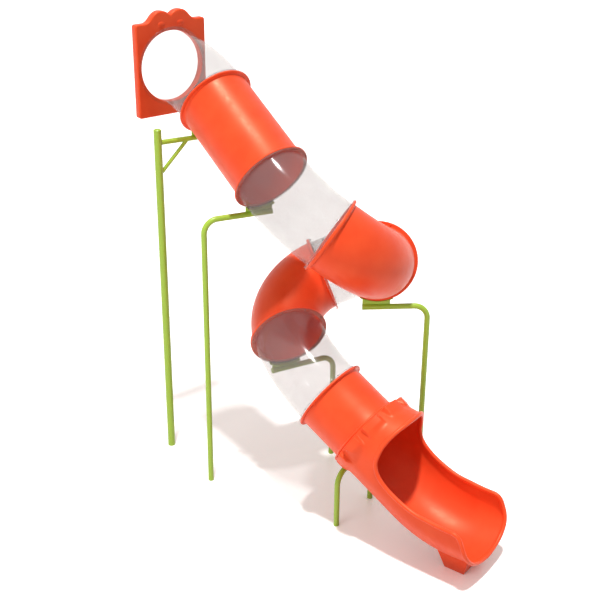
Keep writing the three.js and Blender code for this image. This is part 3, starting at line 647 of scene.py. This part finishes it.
# %% Rings of caps at the joints
SCREWS = 10
SCREW_RING = 0.4125
EXIT_FLANGE = 0.026
HEAD_CAP, NUT_CAP = 0.0056, 0.0085
flange_of = {"clear": CLEAR_FLANGE, "red": PLASTIC_FLANGE}
plastic_of = {"clear": clear_plastic, "red": red_plastic}
rings = {"clear": [], "red": []}
for number, (centre, forward) in enumerate(joints[1:], start=1):
    left, top = joint_axes(forward)
    upstream = SECTIONS[number - 1][1]
    last = number == len(SECTIONS)
    downstream = "red" if last else SECTIONS[number][1]
    near = EXIT_FLANGE if last else flange_of[downstream]
    turned = Matrix((left, top, -forward)).transposed().to_4x4()
    for kind, level, height in (
        (downstream, -near, HEAD_CAP), (upstream, flange_of[upstream], NUT_CAP),
    ):
        rings[kind].append(grow(
            cap_tree, bpy.data.meshes.new("seed"), Matrix.Translation(centre) @ turned,
            **{"Count": SCREWS, "Ring Radius": SCREW_RING, "Face": level,
               "Height": height, "Material": plastic_of[kind]},
        ))
for kind, made in rings.items():
    name = f"flange_caps_{kind}"
    piece(name, smooth(joined(name, made), 30), f"{kind}_plastic")
    print(name, len(made), "rings")

# %% [markdown]
# ## Pipes
#
# Posts, arms, the brace and the exit frame are round pipe bent on a machine: straight
# lengths with one clean radius at each turn. The seed mesh is a line through the corners.
# The tree fillets the corners, sweeps a circle along the line and closes the ends. Each
# line starts at the floor or at the flange it carries, in the arm's own frame.

# %% The tree for a pipe
PIPE_SIDES, BEND_STEPS = 40, 14

pipe_tree, given = geometry_tree("bent_pipe", {"Pipe Radius": NUMBER, "Bend Radius": NUMBER})
tree = pipe_tree
line = node(tree, "GeometryNodeMeshToCurve", {"Mesh": given.outputs["Geometry"]})
filleted = node(tree, "GeometryNodeFilletCurve", mode="POLY")
tree.links.new(line.outputs[0], filleted.inputs["Curve"])
tree.links.new(given.outputs["Bend Radius"], filleted.inputs["Radius"])
filleted.inputs["Count"].default_value = BEND_STEPS
filleted.inputs["Limit Radius"].default_value = True
circle = node(tree, "GeometryNodeCurvePrimitiveCircle", {
    "Resolution": PIPE_SIDES, "Radius": given.outputs["Pipe Radius"],
})
swept = node(tree, "GeometryNodeCurveToMesh", {
    "Curve": filleted.outputs[0], "Profile Curve": circle.outputs[0], "Fill Caps": True,
})
close_tree(tree, given, swept.outputs[0])
print(pipe_tree.name, len(tree.nodes), "nodes")


def pipe_mesh(corners, radius, bend, place):
    """A green pipe through the corners, in the frame of its place."""
    line_mesh = bpy.data.meshes.new("line")
    edges = [(i, i + 1) for i in range(len(corners) - 1)]
    line_mesh.from_pydata(corners, edges, [])
    mesh = grow(
        pipe_tree, line_mesh, place,
        **{"Pipe Radius": radius, "Bend Radius": bend, "Material": green_steel},
    )
    return smooth(mesh)


# %% [markdown]
# An arm's frame stands under its flange: X from the flange to the post, Z up, and the
# origin on the arm's axis below the flange's lowest point. The drop is the strap, the
# gusset and the pipe's own radius, with a hair's gap at each of the three seats.

# %% Frames for the arms
STRAP = 0.008
GUSSET = 0.033
SEATS = 3


def arm_frame(joint, side, swing, radius, advance=0.0):
    """Where an arm's frame stands, swung uphill by some degrees from square."""
    centre, forward = joint
    left, top = joint_axes(forward)
    level_way = Vector((forward.x, forward.y, 0)).normalized()
    reach = left * side * math.cos(math.radians(swing))
    reach -= level_way * math.sin(math.radians(swing))
    bottom = centre + forward * advance - top * FLANGE_RADIUS
    drop = STRAP + GUSSET + radius + SEATS * SEAT_GAP
    return placed(bottom - UP * drop, reach, UP)


# %% [markdown]
# Three posts are one pipe each: from the floor up, over one bend and along the arm, which
# ends a hand past the flange's axis. Only the joint, the side, the swing and the reach
# differ, so one function makes them all.

# %% Three bent posts
PIPE = 0.031
PIPE_BEND = 0.150
OVERHANG = 0.150


def bent_post(number, joint, side, swing, reach):
    """A post bent over into its own arm, from the floor to past the flange."""
    place = arm_frame(joint, side, swing, PIPE)
    height = place.translation.z
    corners = [(reach, 0, -height), (reach, 0, 0), (-OVERHANG, 0, 0)]
    mesh = pipe_mesh(corners, PIPE, PIPE_BEND, place)
    piece(f"bent_post_{number}_pipe", mesh, "green_steel", f"bent_post_{number}")
    print("bent post", number, "height", round(height, 3))


bent_post(2, joints[2], -1, 13.5, 0.619)
bent_post(3, joints[4], -1, -6, 0.563)
bent_post(4, joints[6], 1, 10, 0.638)

# %% [markdown]
# The tall post is welded from three straight pipes. Its arm stops inside the post's wall and
# the brace stops short of both centre lines, as cut pipe does before it is welded.

# %% The tall post, its arm and its brace
POST, ARM, BRACE = 0.0425, 0.028, 0.021
TALL_REACH, TALL_SWING, POST_ABOVE_ARM = 0.547, 9, 0.135
ARM_SHORT = 0.036
BRACE_DOWN, BRACE_OUT = 0.365, 0.350
BRACE_LOW_SHORT, BRACE_HIGH_SHORT = 0.05, 0.025

place = arm_frame(joints[1], -1, TALL_SWING, ARM)
height = place.translation.z
corners = [(TALL_REACH, 0, -height), (TALL_REACH, 0, POST_ABOVE_ARM)]
piece("tall_post_pipe", pipe_mesh(corners, POST, 0.0, place), "green_steel", "tall_post")
corners = [(-OVERHANG, 0, 0), (TALL_REACH - ARM_SHORT, 0, 0)]
arm_pipe = pipe_mesh(corners, ARM, 0.0, place)
piece("tall_post_arm_pipe", arm_pipe, "green_steel", "tall_post_arm")
low, high = Vector((TALL_REACH, 0, -BRACE_DOWN)), Vector((TALL_REACH - BRACE_OUT, 0, 0))
way = (high - low).normalized()
corners = [low + way * BRACE_LOW_SHORT, high - way * BRACE_HIGH_SHORT]
brace = pipe_mesh(corners, BRACE, 0.0, place)
piece("tall_post_brace_pipe", brace, "green_steel", "tall_post_brace")
print("tall post height", round(height + POST_ABOVE_ARM, 3))

# %% [markdown]
# The frame under the exit is one pipe with two bends, a U turned upside down. It stands a
# little down the tube from the last joint, where the collar is thickest, and off centre.

# %% The frame under the exit
FRAME_PIPE, FRAME_ADVANCE = 0.030, 0.048
FRAME_HALF, FRAME_SHIFT = 0.324, 0.080

place = arm_frame(joints[8], 1, 0, FRAME_PIPE, FRAME_ADVANCE)
height = place.translation.z
near, far = FRAME_SHIFT - FRAME_HALF, FRAME_SHIFT + FRAME_HALF
corners = [(far, 0, -height), (far, 0, 0), (near, 0, 0), (near, 0, -height)]
frame_pipe = pipe_mesh(corners, FRAME_PIPE, PIPE_BEND, place)
piece("exit_frame_pipe", frame_pipe, "green_steel", "exit_frame")
print("exit frame height", round(height, 3))

# %% [markdown]
# ## Small plates and the foot
#
# The straps, gussets, post cap and exit foot already have their true shape in the plain
# model. What they lack is the small radius that a grinder or a mould leaves on each edge,
# and that radius is what catches the light. So a copy is merged, its flat faces are joined,
# and a Bevel modifier rounds the edges.

# %% Round the edges of the plates
FLAT_WITHIN = math.radians(1.0)


def softened(name, radius, mat, slot, angle=30, segments=3):
    """A node's own shape with its edges rounded to a radius."""
    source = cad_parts[name]
    work = bmesh.new()
    work.from_mesh(source.data)
    bmesh.ops.remove_doubles(work, verts=work.verts, dist=MERGE_WITHIN)
    bmesh.ops.dissolve_limit(
        work, angle_limit=FLAT_WITHIN, verts=work.verts, edges=work.edges,
    )
    mesh = bpy.data.meshes.new(name)
    work.to_mesh(mesh)
    work.free()
    temp = link("plate", mesh)
    bevel = temp.modifiers.new("edge", "BEVEL")
    bevel.width = radius
    bevel.segments = segments
    bevel.limit_method = "ANGLE"
    bevel.angle_limit = math.radians(angle)
    result = evaluated_mesh(temp)
    result.materials.clear()
    result.materials.append(mat)
    piece(f"{name}_rounded", smooth(result), slot, name)
    print(name, len(result.vertices), "points")


for number in range(1, 6):
    softened(f"strap_{number}", 0.002, green_steel, "green_steel")
    softened(f"gusset_{number}", 0.002, green_steel, "green_steel", angle=50, segments=2)
softened("tall_post_cap", 0.003, green_steel, "green_steel")
softened("exit_foot", 0.008, red_plastic, "red_plastic")

# %% [markdown]
# ## Entrance panel
#
# The panel is one thick moulding with generous edges, two humps on top and a round hole. A
# filled 2D curve with a bevel is the quickest way to a plate whose outer edge and hole edge
# are both rounded: the curve draws the outline, Extrude gives the thickness and Bevel the
# edge. The curve is made a mesh before it is stood upright. Two flattened spheres, half sunk
# in the face, are the raised ovals under the humps.

# %% The panel's outline
PANEL_HALF, PANEL_EDGE, PANEL_CORNER = 0.445, 0.018, 0.028
SHOULDER, HUMP, VALLEY = 0.488, 0.606, 0.548
HUMP_OFFSET, SHOULDER_OFFSET, NOTCH_SHARE = 0.122, 0.336, 0.25


def bezier(a, b, c, d, steps=12):
    """Points after a on a cubic curve."""
    a, b, c, d = (np.array(p, float) for p in (a, b, c, d))
    t = np.linspace(0, 1, steps + 1)[1:, None]
    curve = a * (1 - t) ** 3 + 3 * b * t * (1 - t) ** 2 + 3 * c * t**2 * (1 - t) + d * t**3
    return [tuple(p) for p in curve]


half, low_edge = PANEL_HALF - PANEL_EDGE, PANEL_EDGE - PANEL_BELOW
shoulder, hump, valley = SHOULDER - PANEL_EDGE, HUMP - PANEL_EDGE, VALLEY - PANEL_EDGE
mid = (SHOULDER_OFFSET - HUMP_OFFSET) / 2
right = [(0.0, low_edge), (half - PANEL_CORNER, low_edge)]
right += bezier(
    right[-1], (half, low_edge), (half, low_edge), (half, low_edge + PANEL_CORNER), 6,
)
right += [(half, shoulder - PANEL_CORNER)]
right += bezier(
    right[-1], (half, shoulder), (half, shoulder), (half - PANEL_CORNER, shoulder), 6,
)
right += [(SHOULDER_OFFSET, shoulder)]
right += bezier(
    right[-1], (HUMP_OFFSET + mid, shoulder), (HUMP_OFFSET + mid, hump), (HUMP_OFFSET, hump),
)
notch, middle = HUMP_OFFSET * NOTCH_SHARE, (hump + valley) / 2
right += bezier(right[-1], (HUMP_OFFSET / 2, hump), (notch, middle), (0, valley), 7)
outline = right + [(-x, y) for x, y in reversed(right[1:-1])]
print("panel outline", len(outline), "points")

# %% The panel as a bevelled curve
HOLE_RADIUS = BORE + 0.006
HOLE_SIDES = 96


def closed_spline(curve, points):
    """A closed line through points, added to a curve."""
    spline = curve.splines.new("POLY")
    spline.points.add(len(points) - 1)
    for point, place in zip(spline.points, points):
        point.co = (*place, 1)
    spline.use_cyclic_u = True


curve = bpy.data.curves.new("panel", "CURVE")
curve.dimensions = "2D"
curve.fill_mode = "BOTH"
curve.extrude = PANEL_THICKNESS / 2 - PANEL_EDGE
curve.bevel_depth = PANEL_EDGE
curve.bevel_resolution = 5
closed_spline(curve, [(x, y, 0) for x, y in outline])
angles = np.linspace(0, math.tau, HOLE_SIDES + 1)[:-1]
reach = HOLE_RADIUS + PANEL_EDGE
closed_spline(curve, [(reach * math.cos(a), reach * math.sin(a), 0) for a in angles])
board = evaluated_mesh(link("board", curve))
print("bare panel", len(board.vertices), "points")

# %% Add the ovals and stand the panel up
RELIEF_HALF, RELIEF_FLATNESS = 0.042, 2 / 3
RELIEF_RISE, RELIEF_DROP = 0.008, 0.142

work = bmesh.new()
work.from_mesh(board)
for side in (-1, 1):
    spot = Matrix.Translation((side * HUMP_OFFSET, HUMP - RELIEF_DROP, PANEL_THICKNESS / 2))
    oval = Matrix.Diagonal((RELIEF_HALF, RELIEF_HALF * RELIEF_FLATNESS, RELIEF_RISE, 1))
    bmesh.ops.create_uvsphere(
        work, u_segments=48, v_segments=24, radius=1.0, matrix=spot @ oval,
    )
work.to_mesh(board)
work.free()
board.transform(Matrix.Rotation(math.pi / 2, 4, "X"))
board.transform(Matrix.Translation(hole + Vector((0, PANEL_THICKNESS / 2, 0))))
board.materials.clear()
board.materials.append(red_plastic)
piece("entrance_panel_moulding", smooth(board), "red_plastic", "entrance_panel")
print("panel", len(board.vertices), "points")

# %% [markdown]
# ## Exit section
#
# The exit is the slide's hero piece: one moulding that starts as a bolted collar, rises
# into a hood, opens, and runs out as a chute with a rolled rim. It is built straight, as a
# stack of rings, and bent along its route at the end. A ring is an arch on straight sides
# above the axis and half an ellipse below it. The collar's lugs are not separate blocks:
# they swell out of the skin with soft shoulders, as a moulding's do, and run down the hood
# as fading ridges, so they are written into the ring's radius.

# %% Sizes and route of the exit
EXIT_WALL = 0.009
EXIT_RADIUS = BORE + EXIT_WALL
EXIT_STRAIGHT = 0.800
EXIT_BEND = 1.260
EXIT_TURN = math.radians(27.3)
EXIT_RUNOUT = 0.272
EXIT_LENGTH = EXIT_STRAIGHT + EXIT_BEND * EXIT_TURN + EXIT_RUNOUT
HOOD_LENGTH, HOOD_HEIGHT = 0.300, 0.590
HOOD_ROOT_HEIGHT, HOOD_ROOT_HALF = 0.468, 0.425
CHUTE_HALF, CHUTE_DEPTH, LIP_DEPTH = 0.432, 0.372, 0.298
print("exit length", round(EXIT_LENGTH, 3))

# %% Helpers for the exit's sizes and route


def blend(a, b, share):
    """A value that goes from a to b."""
    return a + (b - a) * share


def exit_size(station):
    """Half width, height of the straight sides and depth of the ring at a station."""
    share = np.clip(station / HOOD_LENGTH, 0, 1)
    lip = np.clip((station - EXIT_STRAIGHT) / (EXIT_LENGTH - EXIT_STRAIGHT), 0, 1) ** 2
    width = blend(HOOD_ROOT_HALF, CHUTE_HALF, share)
    height = blend(HOOD_ROOT_HEIGHT, HOOD_HEIGHT, share)
    depth = blend(blend(EXIT_RADIUS, CHUTE_DEPTH, share), LIP_DEPTH, lip)
    return width, height - width, depth


def bent_along_exit(points):
    """Moves points from the straight exit to its route."""
    x, y, z = points[:, 0], points[:, 1], points[:, 2]
    turn = np.clip((x - EXIT_STRAIGHT) / EXIT_BEND, 0, EXIT_TURN)
    extra = np.clip(x - EXIT_STRAIGHT - EXIT_BEND * EXIT_TURN, 0, None)
    centre_x = np.minimum(x, EXIT_STRAIGHT) + EXIT_BEND * np.sin(turn) + extra * np.cos(turn)
    centre_z = EXIT_BEND * (1 - np.cos(turn)) + extra * np.sin(turn)
    return np.stack([centre_x - z * np.sin(turn), y, centre_z + z * np.cos(turn)], 1)


def swell(value, start, end):
    """A smooth step from 0 to 1."""
    t = np.clip((value - start) / (end - start), 0, 1)
    return t * t * (3 - 2 * t)


# %% Rings of the outer skin
RING = 400
COLLAR_EDGE, COLLAR_RADIUS, COLLAR_LIFT = 0.011, 0.475, 0.055
POCKETS, POCKET_HALF, POCKET_SOFT = 10, 0.040, 0.035
LUG_START, LUG_FULL, LUG_END = 0.014, 0.085, 0.195


def arch(station, width, side, depth):
    """Points round one ring: an arch on straight sides above, half an ellipse below."""
    angle = np.linspace(0, math.tau, RING + 1)[:-1]
    rise = np.sin(angle)
    height = np.where(rise > 0, side + width * rise, depth * rise)
    return np.stack([np.full(RING, station), width * np.cos(angle), height], 1)


def outer_ring(station):
    """The skin, with the flange and the lugs swelling out of it near the joint."""
    ring = arch(station, *exit_size(station))
    radius = np.hypot(ring[:, 1], ring[:, 2])
    direction = ring[:, 1:] / radius[:, None]
    if station < EXIT_FLANGE:
        into = max(0.0, COLLAR_EDGE - min(station, EXIT_FLANGE - station))
        drop = COLLAR_EDGE - math.sqrt(max(0.0, COLLAR_EDGE**2 - into**2))
        radius = np.maximum(radius, FLANGE_RADIUS - drop)
    bearing = np.arctan2(direction[:, 0], direction[:, 1])
    lug_radius = COLLAR_LIFT * np.cos(bearing) + np.sqrt(
        COLLAR_RADIUS**2 - (COLLAR_LIFT * np.sin(bearing)) ** 2
    )
    step = math.tau / POCKETS
    off_pocket = np.abs((bearing / step) % 1.0 - 0.5) * step
    pocket = POCKET_HALF / FLANGE_RADIUS
    across = swell(off_pocket, pocket - POCKET_SOFT, pocket + POCKET_SOFT)
    lengthwise = swell(LUG_END - station, 0, LUG_END - LUG_FULL) * swell(station, 0, LUG_START)
    lug = radius + np.maximum(0, lug_radius - radius) * across * lengthwise
    ring[:, 1:] = direction * lug[:, None]
    return ring


# %% Rings of the inner skin, and a loft through rings
ROUND_UNTIL, ARCHED_FROM = EXIT_FLANGE, 0.1024


def inner_ring(station):
    """The bore at the joint, which becomes the outer ring less the wall."""
    width, side, depth = exit_size(station)
    share = float(swell(station, ROUND_UNTIL, ARCHED_FROM))
    return arch(
        station, blend(BORE, width - EXIT_WALL, share), side * share,
        blend(BORE, depth - EXIT_WALL, share),
    )


def loft(rings, mat):
    """A closed mesh through rings of equal count, flat at both ends."""
    count = len(rings)
    faces = []
    for row in range(count - 1):
        for i in range(RING):
            j = (i + 1) % RING
            near, far = row * RING, (row + 1) * RING
            faces.append((near + i, near + j, far + j, far + i))
    faces.append(tuple(reversed(range(RING))))
    faces.append(tuple((count - 1) * RING + i for i in range(RING)))
    mesh = bpy.data.meshes.new("loft")
    mesh.from_pydata(np.concatenate(rings).tolist(), [], faces)
    mesh.materials.append(mat)
    return mesh


# %% [markdown]
# The mouth is cut in side view: one curve runs from the hood's top, sweeps down and forward,
# and follows the chute's edges to the lip. Everything above it is taken away with a Boolean,
# which on closed meshes like these is exact and quick. The cut edge is then covered by the
# rolled rim, a round bead that follows the same curve on the skin.

# %% The mouth's curve
MOUTH_ALONG = [
    0, -0.01, -0.0075, 0.0135, 0.042, 0.093, 0.15, 0.233, 0.314, 0.412,
    0.513, 0.611, 0.711, 0.813, 0.861, 0.898, 0.932, 0.973, 1,
]
MOUTH_ABOVE = [
    1, 0.85, 0.66, 0.461, 0.302, 0.179, 0.122, 0.089, 0.089, 0.11,
    0.139, 0.183, 0.207, 0.22, 0.22, 0.178, 0.042, -0.203, -0.527,
]
RIM_RADIUS = 0.022


def through(points, steps):
    """A smooth line through points, by centripetal Catmull-Rom."""
    points = np.array(points, float)
    ends = [2 * points[0] - points[1], *points, 2 * points[-1] - points[-2]]
    line = []
    for p0, p1, p2, p3 in zip(ends, ends[1:], ends[2:], ends[3:]):
        t0 = 0.0
        t1 = t0 + math.sqrt(np.linalg.norm(p1 - p0))
        t2 = t1 + math.sqrt(np.linalg.norm(p2 - p1))
        t3 = t2 + math.sqrt(np.linalg.norm(p3 - p2))
        for t in np.linspace(t1, t2, steps, endpoint=False):
            a1 = (t1 - t) / (t1 - t0) * p0 + (t - t0) / (t1 - t0) * p1
            a2 = (t2 - t) / (t2 - t1) * p1 + (t - t1) / (t2 - t1) * p2
            a3 = (t3 - t) / (t3 - t2) * p2 + (t - t2) / (t3 - t2) * p3
            b1 = (t2 - t) / (t2 - t0) * a1 + (t - t0) / (t2 - t0) * a2
            b2 = (t3 - t) / (t3 - t1) * a2 + (t - t1) / (t3 - t1) * a3
            line.append((t2 - t) / (t2 - t1) * b1 + (t - t1) / (t2 - t1) * b2)
    line.append(points[-1])
    return np.array(line)


chute = EXIT_LENGTH - HOOD_LENGTH - RIM_RADIUS
mouth = through(
    [(HOOD_LENGTH + a * chute, b * HOOD_HEIGHT) for a, b in zip(MOUTH_ALONG, MOUTH_ABOVE)], 8,
)
print("mouth", len(mouth), "points")

# %% Loft the shell
LUGS_BELOW = 0.20
OVERSHOOT = 0.02


def solid_cut(body, cutter):
    """One closed mesh with another taken away."""
    target = link("target", body)
    tool = link("tool", cutter)
    boolean = target.modifiers.new("cut", "BOOLEAN")
    boolean.operation = "DIFFERENCE"
    boolean.solver = "MANIFOLD"
    boolean.object = tool
    result = evaluated_mesh(target)
    bpy.data.objects.remove(tool)
    return result


stations = np.concatenate([
    np.linspace(SEAT_GAP / 2, EXIT_FLANGE, 12),
    np.linspace(EXIT_FLANGE, LUGS_BELOW, 36)[1:],
    np.linspace(LUGS_BELOW, HOOD_LENGTH, 9)[1:],
    np.linspace(HOOD_LENGTH, EXIT_LENGTH, 90)[1:],
])
outer = loft([outer_ring(s) for s in stations], red_plastic)
inside = np.concatenate([[-OVERSHOOT], stations[1:], [EXIT_LENGTH + OVERSHOOT]])
inner = loft([inner_ring(s) for s in inside], red_plastic)
shell = solid_cut(outer, inner)
print("shell", len(stations), "rings")

# %% [markdown]
# The cutter is the mouth's curve closed over the top and pushed out to both sides. Its faces
# are turned outwards first, since a Boolean needs to know which side is solid. The shell is
# bent only after the cut, while the side view is still flat.

# %% Cut the mouth
CLEARANCE = 0.05

top, bottom = HOOD_HEIGHT + CLEARANCE, -EXIT_RADIUS - CLEARANCE
wide, end = CHUTE_HALF + CLEARANCE, EXIT_LENGTH + CLEARANCE
side_view = [
    (mouth[0][0], top), *map(tuple, mouth), (mouth[-1][0], bottom), (end, bottom), (end, top),
]
count = len(side_view)
cutter = bpy.data.meshes.new("mouth")
cutter.from_pydata(
    [(x, -wide, z) for x, z in side_view] + [(x, wide, z) for x, z in side_view], [],
    [(i, (i + 1) % count, count + (i + 1) % count, count + i) for i in range(count)]
    + [tuple(reversed(range(count))), tuple(range(count, 2 * count))],
)
work = bmesh.new()
work.from_mesh(cutter)
bmesh.ops.recalc_face_normals(work, faces=work.faces)
work.to_mesh(cutter)
work.free()
shell = solid_cut(shell, cutter)
print("cut shell", len(shell.vertices), "points")

# %% Bend the shell to its route
coordinates = np.zeros(len(shell.vertices) * 3)
shell.vertices.foreach_get("co", coordinates)
shell.vertices.foreach_set("co", bent_along_exit(coordinates.reshape(-1, 3)).ravel())
centre, forward = joints[8]
left, top_way = joint_axes(forward)
exit_place = placed(centre, forward, top_way)
shell.transform(exit_place)
piece("exit_section_moulding", smooth(shell, 35), "red_plastic", "exit_section")
print("exit reaches", [round(v, 3) for v in exit_place.translation], "at its joint")

# %% [markdown]
# The rim is a curve with a round bevel. Its line lies in the middle of the wall: for each
# point of the mouth's curve, the ring's own equation gives how far out the wall is there.
# The two sides are one line, from the hood's top down one side, round the lip and back.

# %% The line of the rim
RIM_STEP = 0.008

middle = EXIT_WALL / 2
one_side = []
for x, z in mouth:
    width, side, depth = exit_size(x)
    height = min(max(z, middle - depth), side + width - middle)
    up_share = max(0.0, height - side) / (width - middle)
    down_share = min(0.0, height) / (depth - middle)
    spread = math.sqrt(max(0.0, 1 - up_share**2 - down_share**2))
    one_side.append((x, spread * (width - middle), height))
one_side = np.array(one_side)
other = one_side[::-1] * (1, -1, 1)
loop = np.concatenate([one_side, other[1:-1]])
loop = bent_along_exit(loop)
keep = [0]
for i in range(1, len(loop)):
    if np.linalg.norm(loop[i] - loop[keep[-1]]) > RIM_STEP:
        keep.append(i)
print("rim", len(keep), "points")

# %% The rolled rim
curve = bpy.data.curves.new("rim", "CURVE")
curve.dimensions = "3D"
curve.bevel_depth = RIM_RADIUS
curve.bevel_resolution = 7
closed_spline(curve, loop[keep])
rim = evaluated_mesh(link("rim", curve))
rim.transform(exit_place)
rim.materials.clear()
rim.materials.append(red_plastic)
piece("exit_rolled_rim", smooth(rim), "red_plastic")
print("rolled rim", len(rim.vertices), "points")

# %% [markdown]
# ## Camera
#
# The photograph was solved for its camera: where it stood, how far it looked down, and its
# field of view. It stood about seven metres up and twelve metres from the panel. The lens is
# given for a 36 mm wide sensor.

# %% Camera
LOOK = Vector((0.62924, 0.77721, 0))
PITCH, ROLL = math.radians(24.2185), math.radians(0.45)
LENS, SENSOR = 66.80, 36.0
FROM_HOLE_X, FROM_HOLE_Y, EYE_HEIGHT = -6.5618, -10.3273, 7.0922

across = Vector((LOOK.y, -LOOK.x, 0))
ahead = LOOK * math.cos(PITCH) - UP * math.sin(PITCH)
over = across.cross(ahead)
across_rolled = across * math.cos(ROLL) + over * math.sin(ROLL)
over_rolled = over * math.cos(ROLL) - across * math.sin(ROLL)
lens = bpy.data.cameras.new("camera")
lens.lens = LENS
lens.sensor_width = SENSOR
camera = bpy.data.objects.new("camera", lens)
bpy.context.scene.collection.objects.link(camera)
turned = Matrix((across_rolled, over_rolled, -ahead)).transposed().to_4x4()
spot = Vector((hole.x + FROM_HOLE_X, hole.y + FROM_HOLE_Y, EYE_HEIGHT))
camera.matrix_world = Matrix.Translation(spot) @ turned
bpy.context.scene.camera = camera
print("camera at", [round(v, 2) for v in spot])

# %% [markdown]
# ## Floor and light
#
# The outline of the shadow in the photograph gives the main light: a small one, 82 degrees
# up and leaning a little towards the viewer. A pale sky fills in, and a broad soft light
# from the viewer's left lifts the sides of the tubes. The floor is bright enough to meet the
# white background by itself. Only camera rays, mirrored rays and rays through the clear wall
# see it so pale. For them a warm glow is also painted on it: painted light that lifts its
# shadow, fading to a painted shade on the floor near and under the slide. To the slide it is
# a darker floor, so the insides of the tubes stay deep.

# %% Which rays meet the white background


def background_rays(tree):
    """One for the rays that should meet the white background, and zero for the others."""
    rays = node(tree, "ShaderNodeLightPath")
    mirrored = node(tree, "ShaderNodeMath", {
        0: rays.outputs["Is Glossy Ray"], 1: rays.outputs["Is Transmission Ray"],
    }, operation="MAXIMUM")
    return node(tree, "ShaderNodeMath", {
        0: rays.outputs["Is Camera Ray"], 1: mirrored.outputs[0],
    }, operation="MAXIMUM").outputs[0]


# %% The floor's material
# Strength of the painted glow, and how far out the painted shade near the slide reaches.
FLOOR_GLOW = 0.44
PAINTED_SHADE_REACH = 2.2

studio_floor, tree, shader = material("studio_floor_white")
seen = background_rays(tree)
tone = node(tree, "ShaderNodeMix", data_type="RGBA")
tree.links.new(seen, tone.inputs["Factor"])
tone.inputs["A"].default_value = linear("#c8c3bf")
tone.inputs["B"].default_value = linear("#f8f6f5")
tree.links.new(tone.outputs["Result"], shader.inputs["Base Color"])
glow = node(tree, "ShaderNodeMath", {0: seen, 1: FLOOR_GLOW}, operation="MULTIPLY")
tree.links.new(glow.outputs[0], shader.inputs["Emission Strength"])
# Painted light and painted shade: a warm glow painted on the floor, dimmed by ambient
# occlusion near and under the slide.
painted_glow_and_shade = node(tree, "ShaderNodeAmbientOcclusion", {
    "Color": linear("#fdefe7"), "Distance": PAINTED_SHADE_REACH,
})
tree.links.new(painted_glow_and_shade.outputs["Color"], shader.inputs["Emission Color"])
shader.inputs["Roughness"].default_value = 0.36
shader.inputs["Specular IOR Level"].default_value = 0.8
print(studio_floor.name, len(tree.nodes), "nodes")

# %% The floor
SPAN = 60.0
FLOOR_DROP = 0.0005

floor_mesh = bpy.data.meshes.new("floor")
floor_mesh.from_pydata(
    [(-SPAN, -SPAN, 0), (SPAN, -SPAN, 0), (SPAN, SPAN, 0), (-SPAN, SPAN, 0)], [],
    [(0, 1, 2, 3)],
)
floor_mesh.materials.append(studio_floor)
floor = link("studio_floor", floor_mesh)
floor.location.z = -FLOOR_DROP
print("floor", 2 * SPAN, "m wide")

# %% The world
SKY_FILL = 0.27

world = bpy.data.worlds.new("studio")
bpy.context.scene.world = world
world.use_nodes = True
tree = world.node_tree
tree.nodes.clear()
fill = node(tree, "ShaderNodeBackground", {"Color": (1, 1, 1, 1), "Strength": SKY_FILL})
white = node(tree, "ShaderNodeBackground", {"Color": (1, 1, 1, 1), "Strength": 1.0})
chosen = node(tree, "ShaderNodeMixShader", {
    0: background_rays(tree), 1: fill.outputs[0], 2: white.outputs[0],
})
node(tree, "ShaderNodeOutputWorld", {"Surface": chosen.outputs[0]})
print("sky fill", SKY_FILL)

# %% The lamps
KEY_ELEVATION, KEY_AZIMUTH = math.radians(82), math.radians(223.5)


def lamp(name, kind, spot, aim, **settings):
    """A lamp at a spot, aimed at a point, with its size and power."""
    data = bpy.data.lights.new(name, kind)
    for setting, value in settings.items():
        setattr(data, setting, value)
    made = bpy.data.objects.new(name, data)
    bpy.context.scene.collection.objects.link(made)
    made.location = spot
    made.rotation_mode = "QUATERNION"
    made.rotation_quaternion = (Vector(aim) - Vector(spot)).to_track_quat("-Z", "Y")
    return made


level = math.cos(KEY_ELEVATION)
high = Vector((
    level * math.cos(KEY_AZIMUTH), level * math.sin(KEY_AZIMUTH), math.sin(KEY_ELEVATION),
))
lamp("key", "SUN", high * 12, (0, 0, 0), energy=3.3, angle=math.radians(3.5))
softbox = lamp(
    "left_softbox", "AREA", (-10, -1.5, 4.5), (0, 0, 2.5),
    shape="RECTANGLE", size=6.0, size_y=4.0, energy=360,
)
softbox.visible_glossy = False
bpy.context.scene.view_settings.view_transform = "Standard"
print("key light from", [round(v, 3) for v in high])
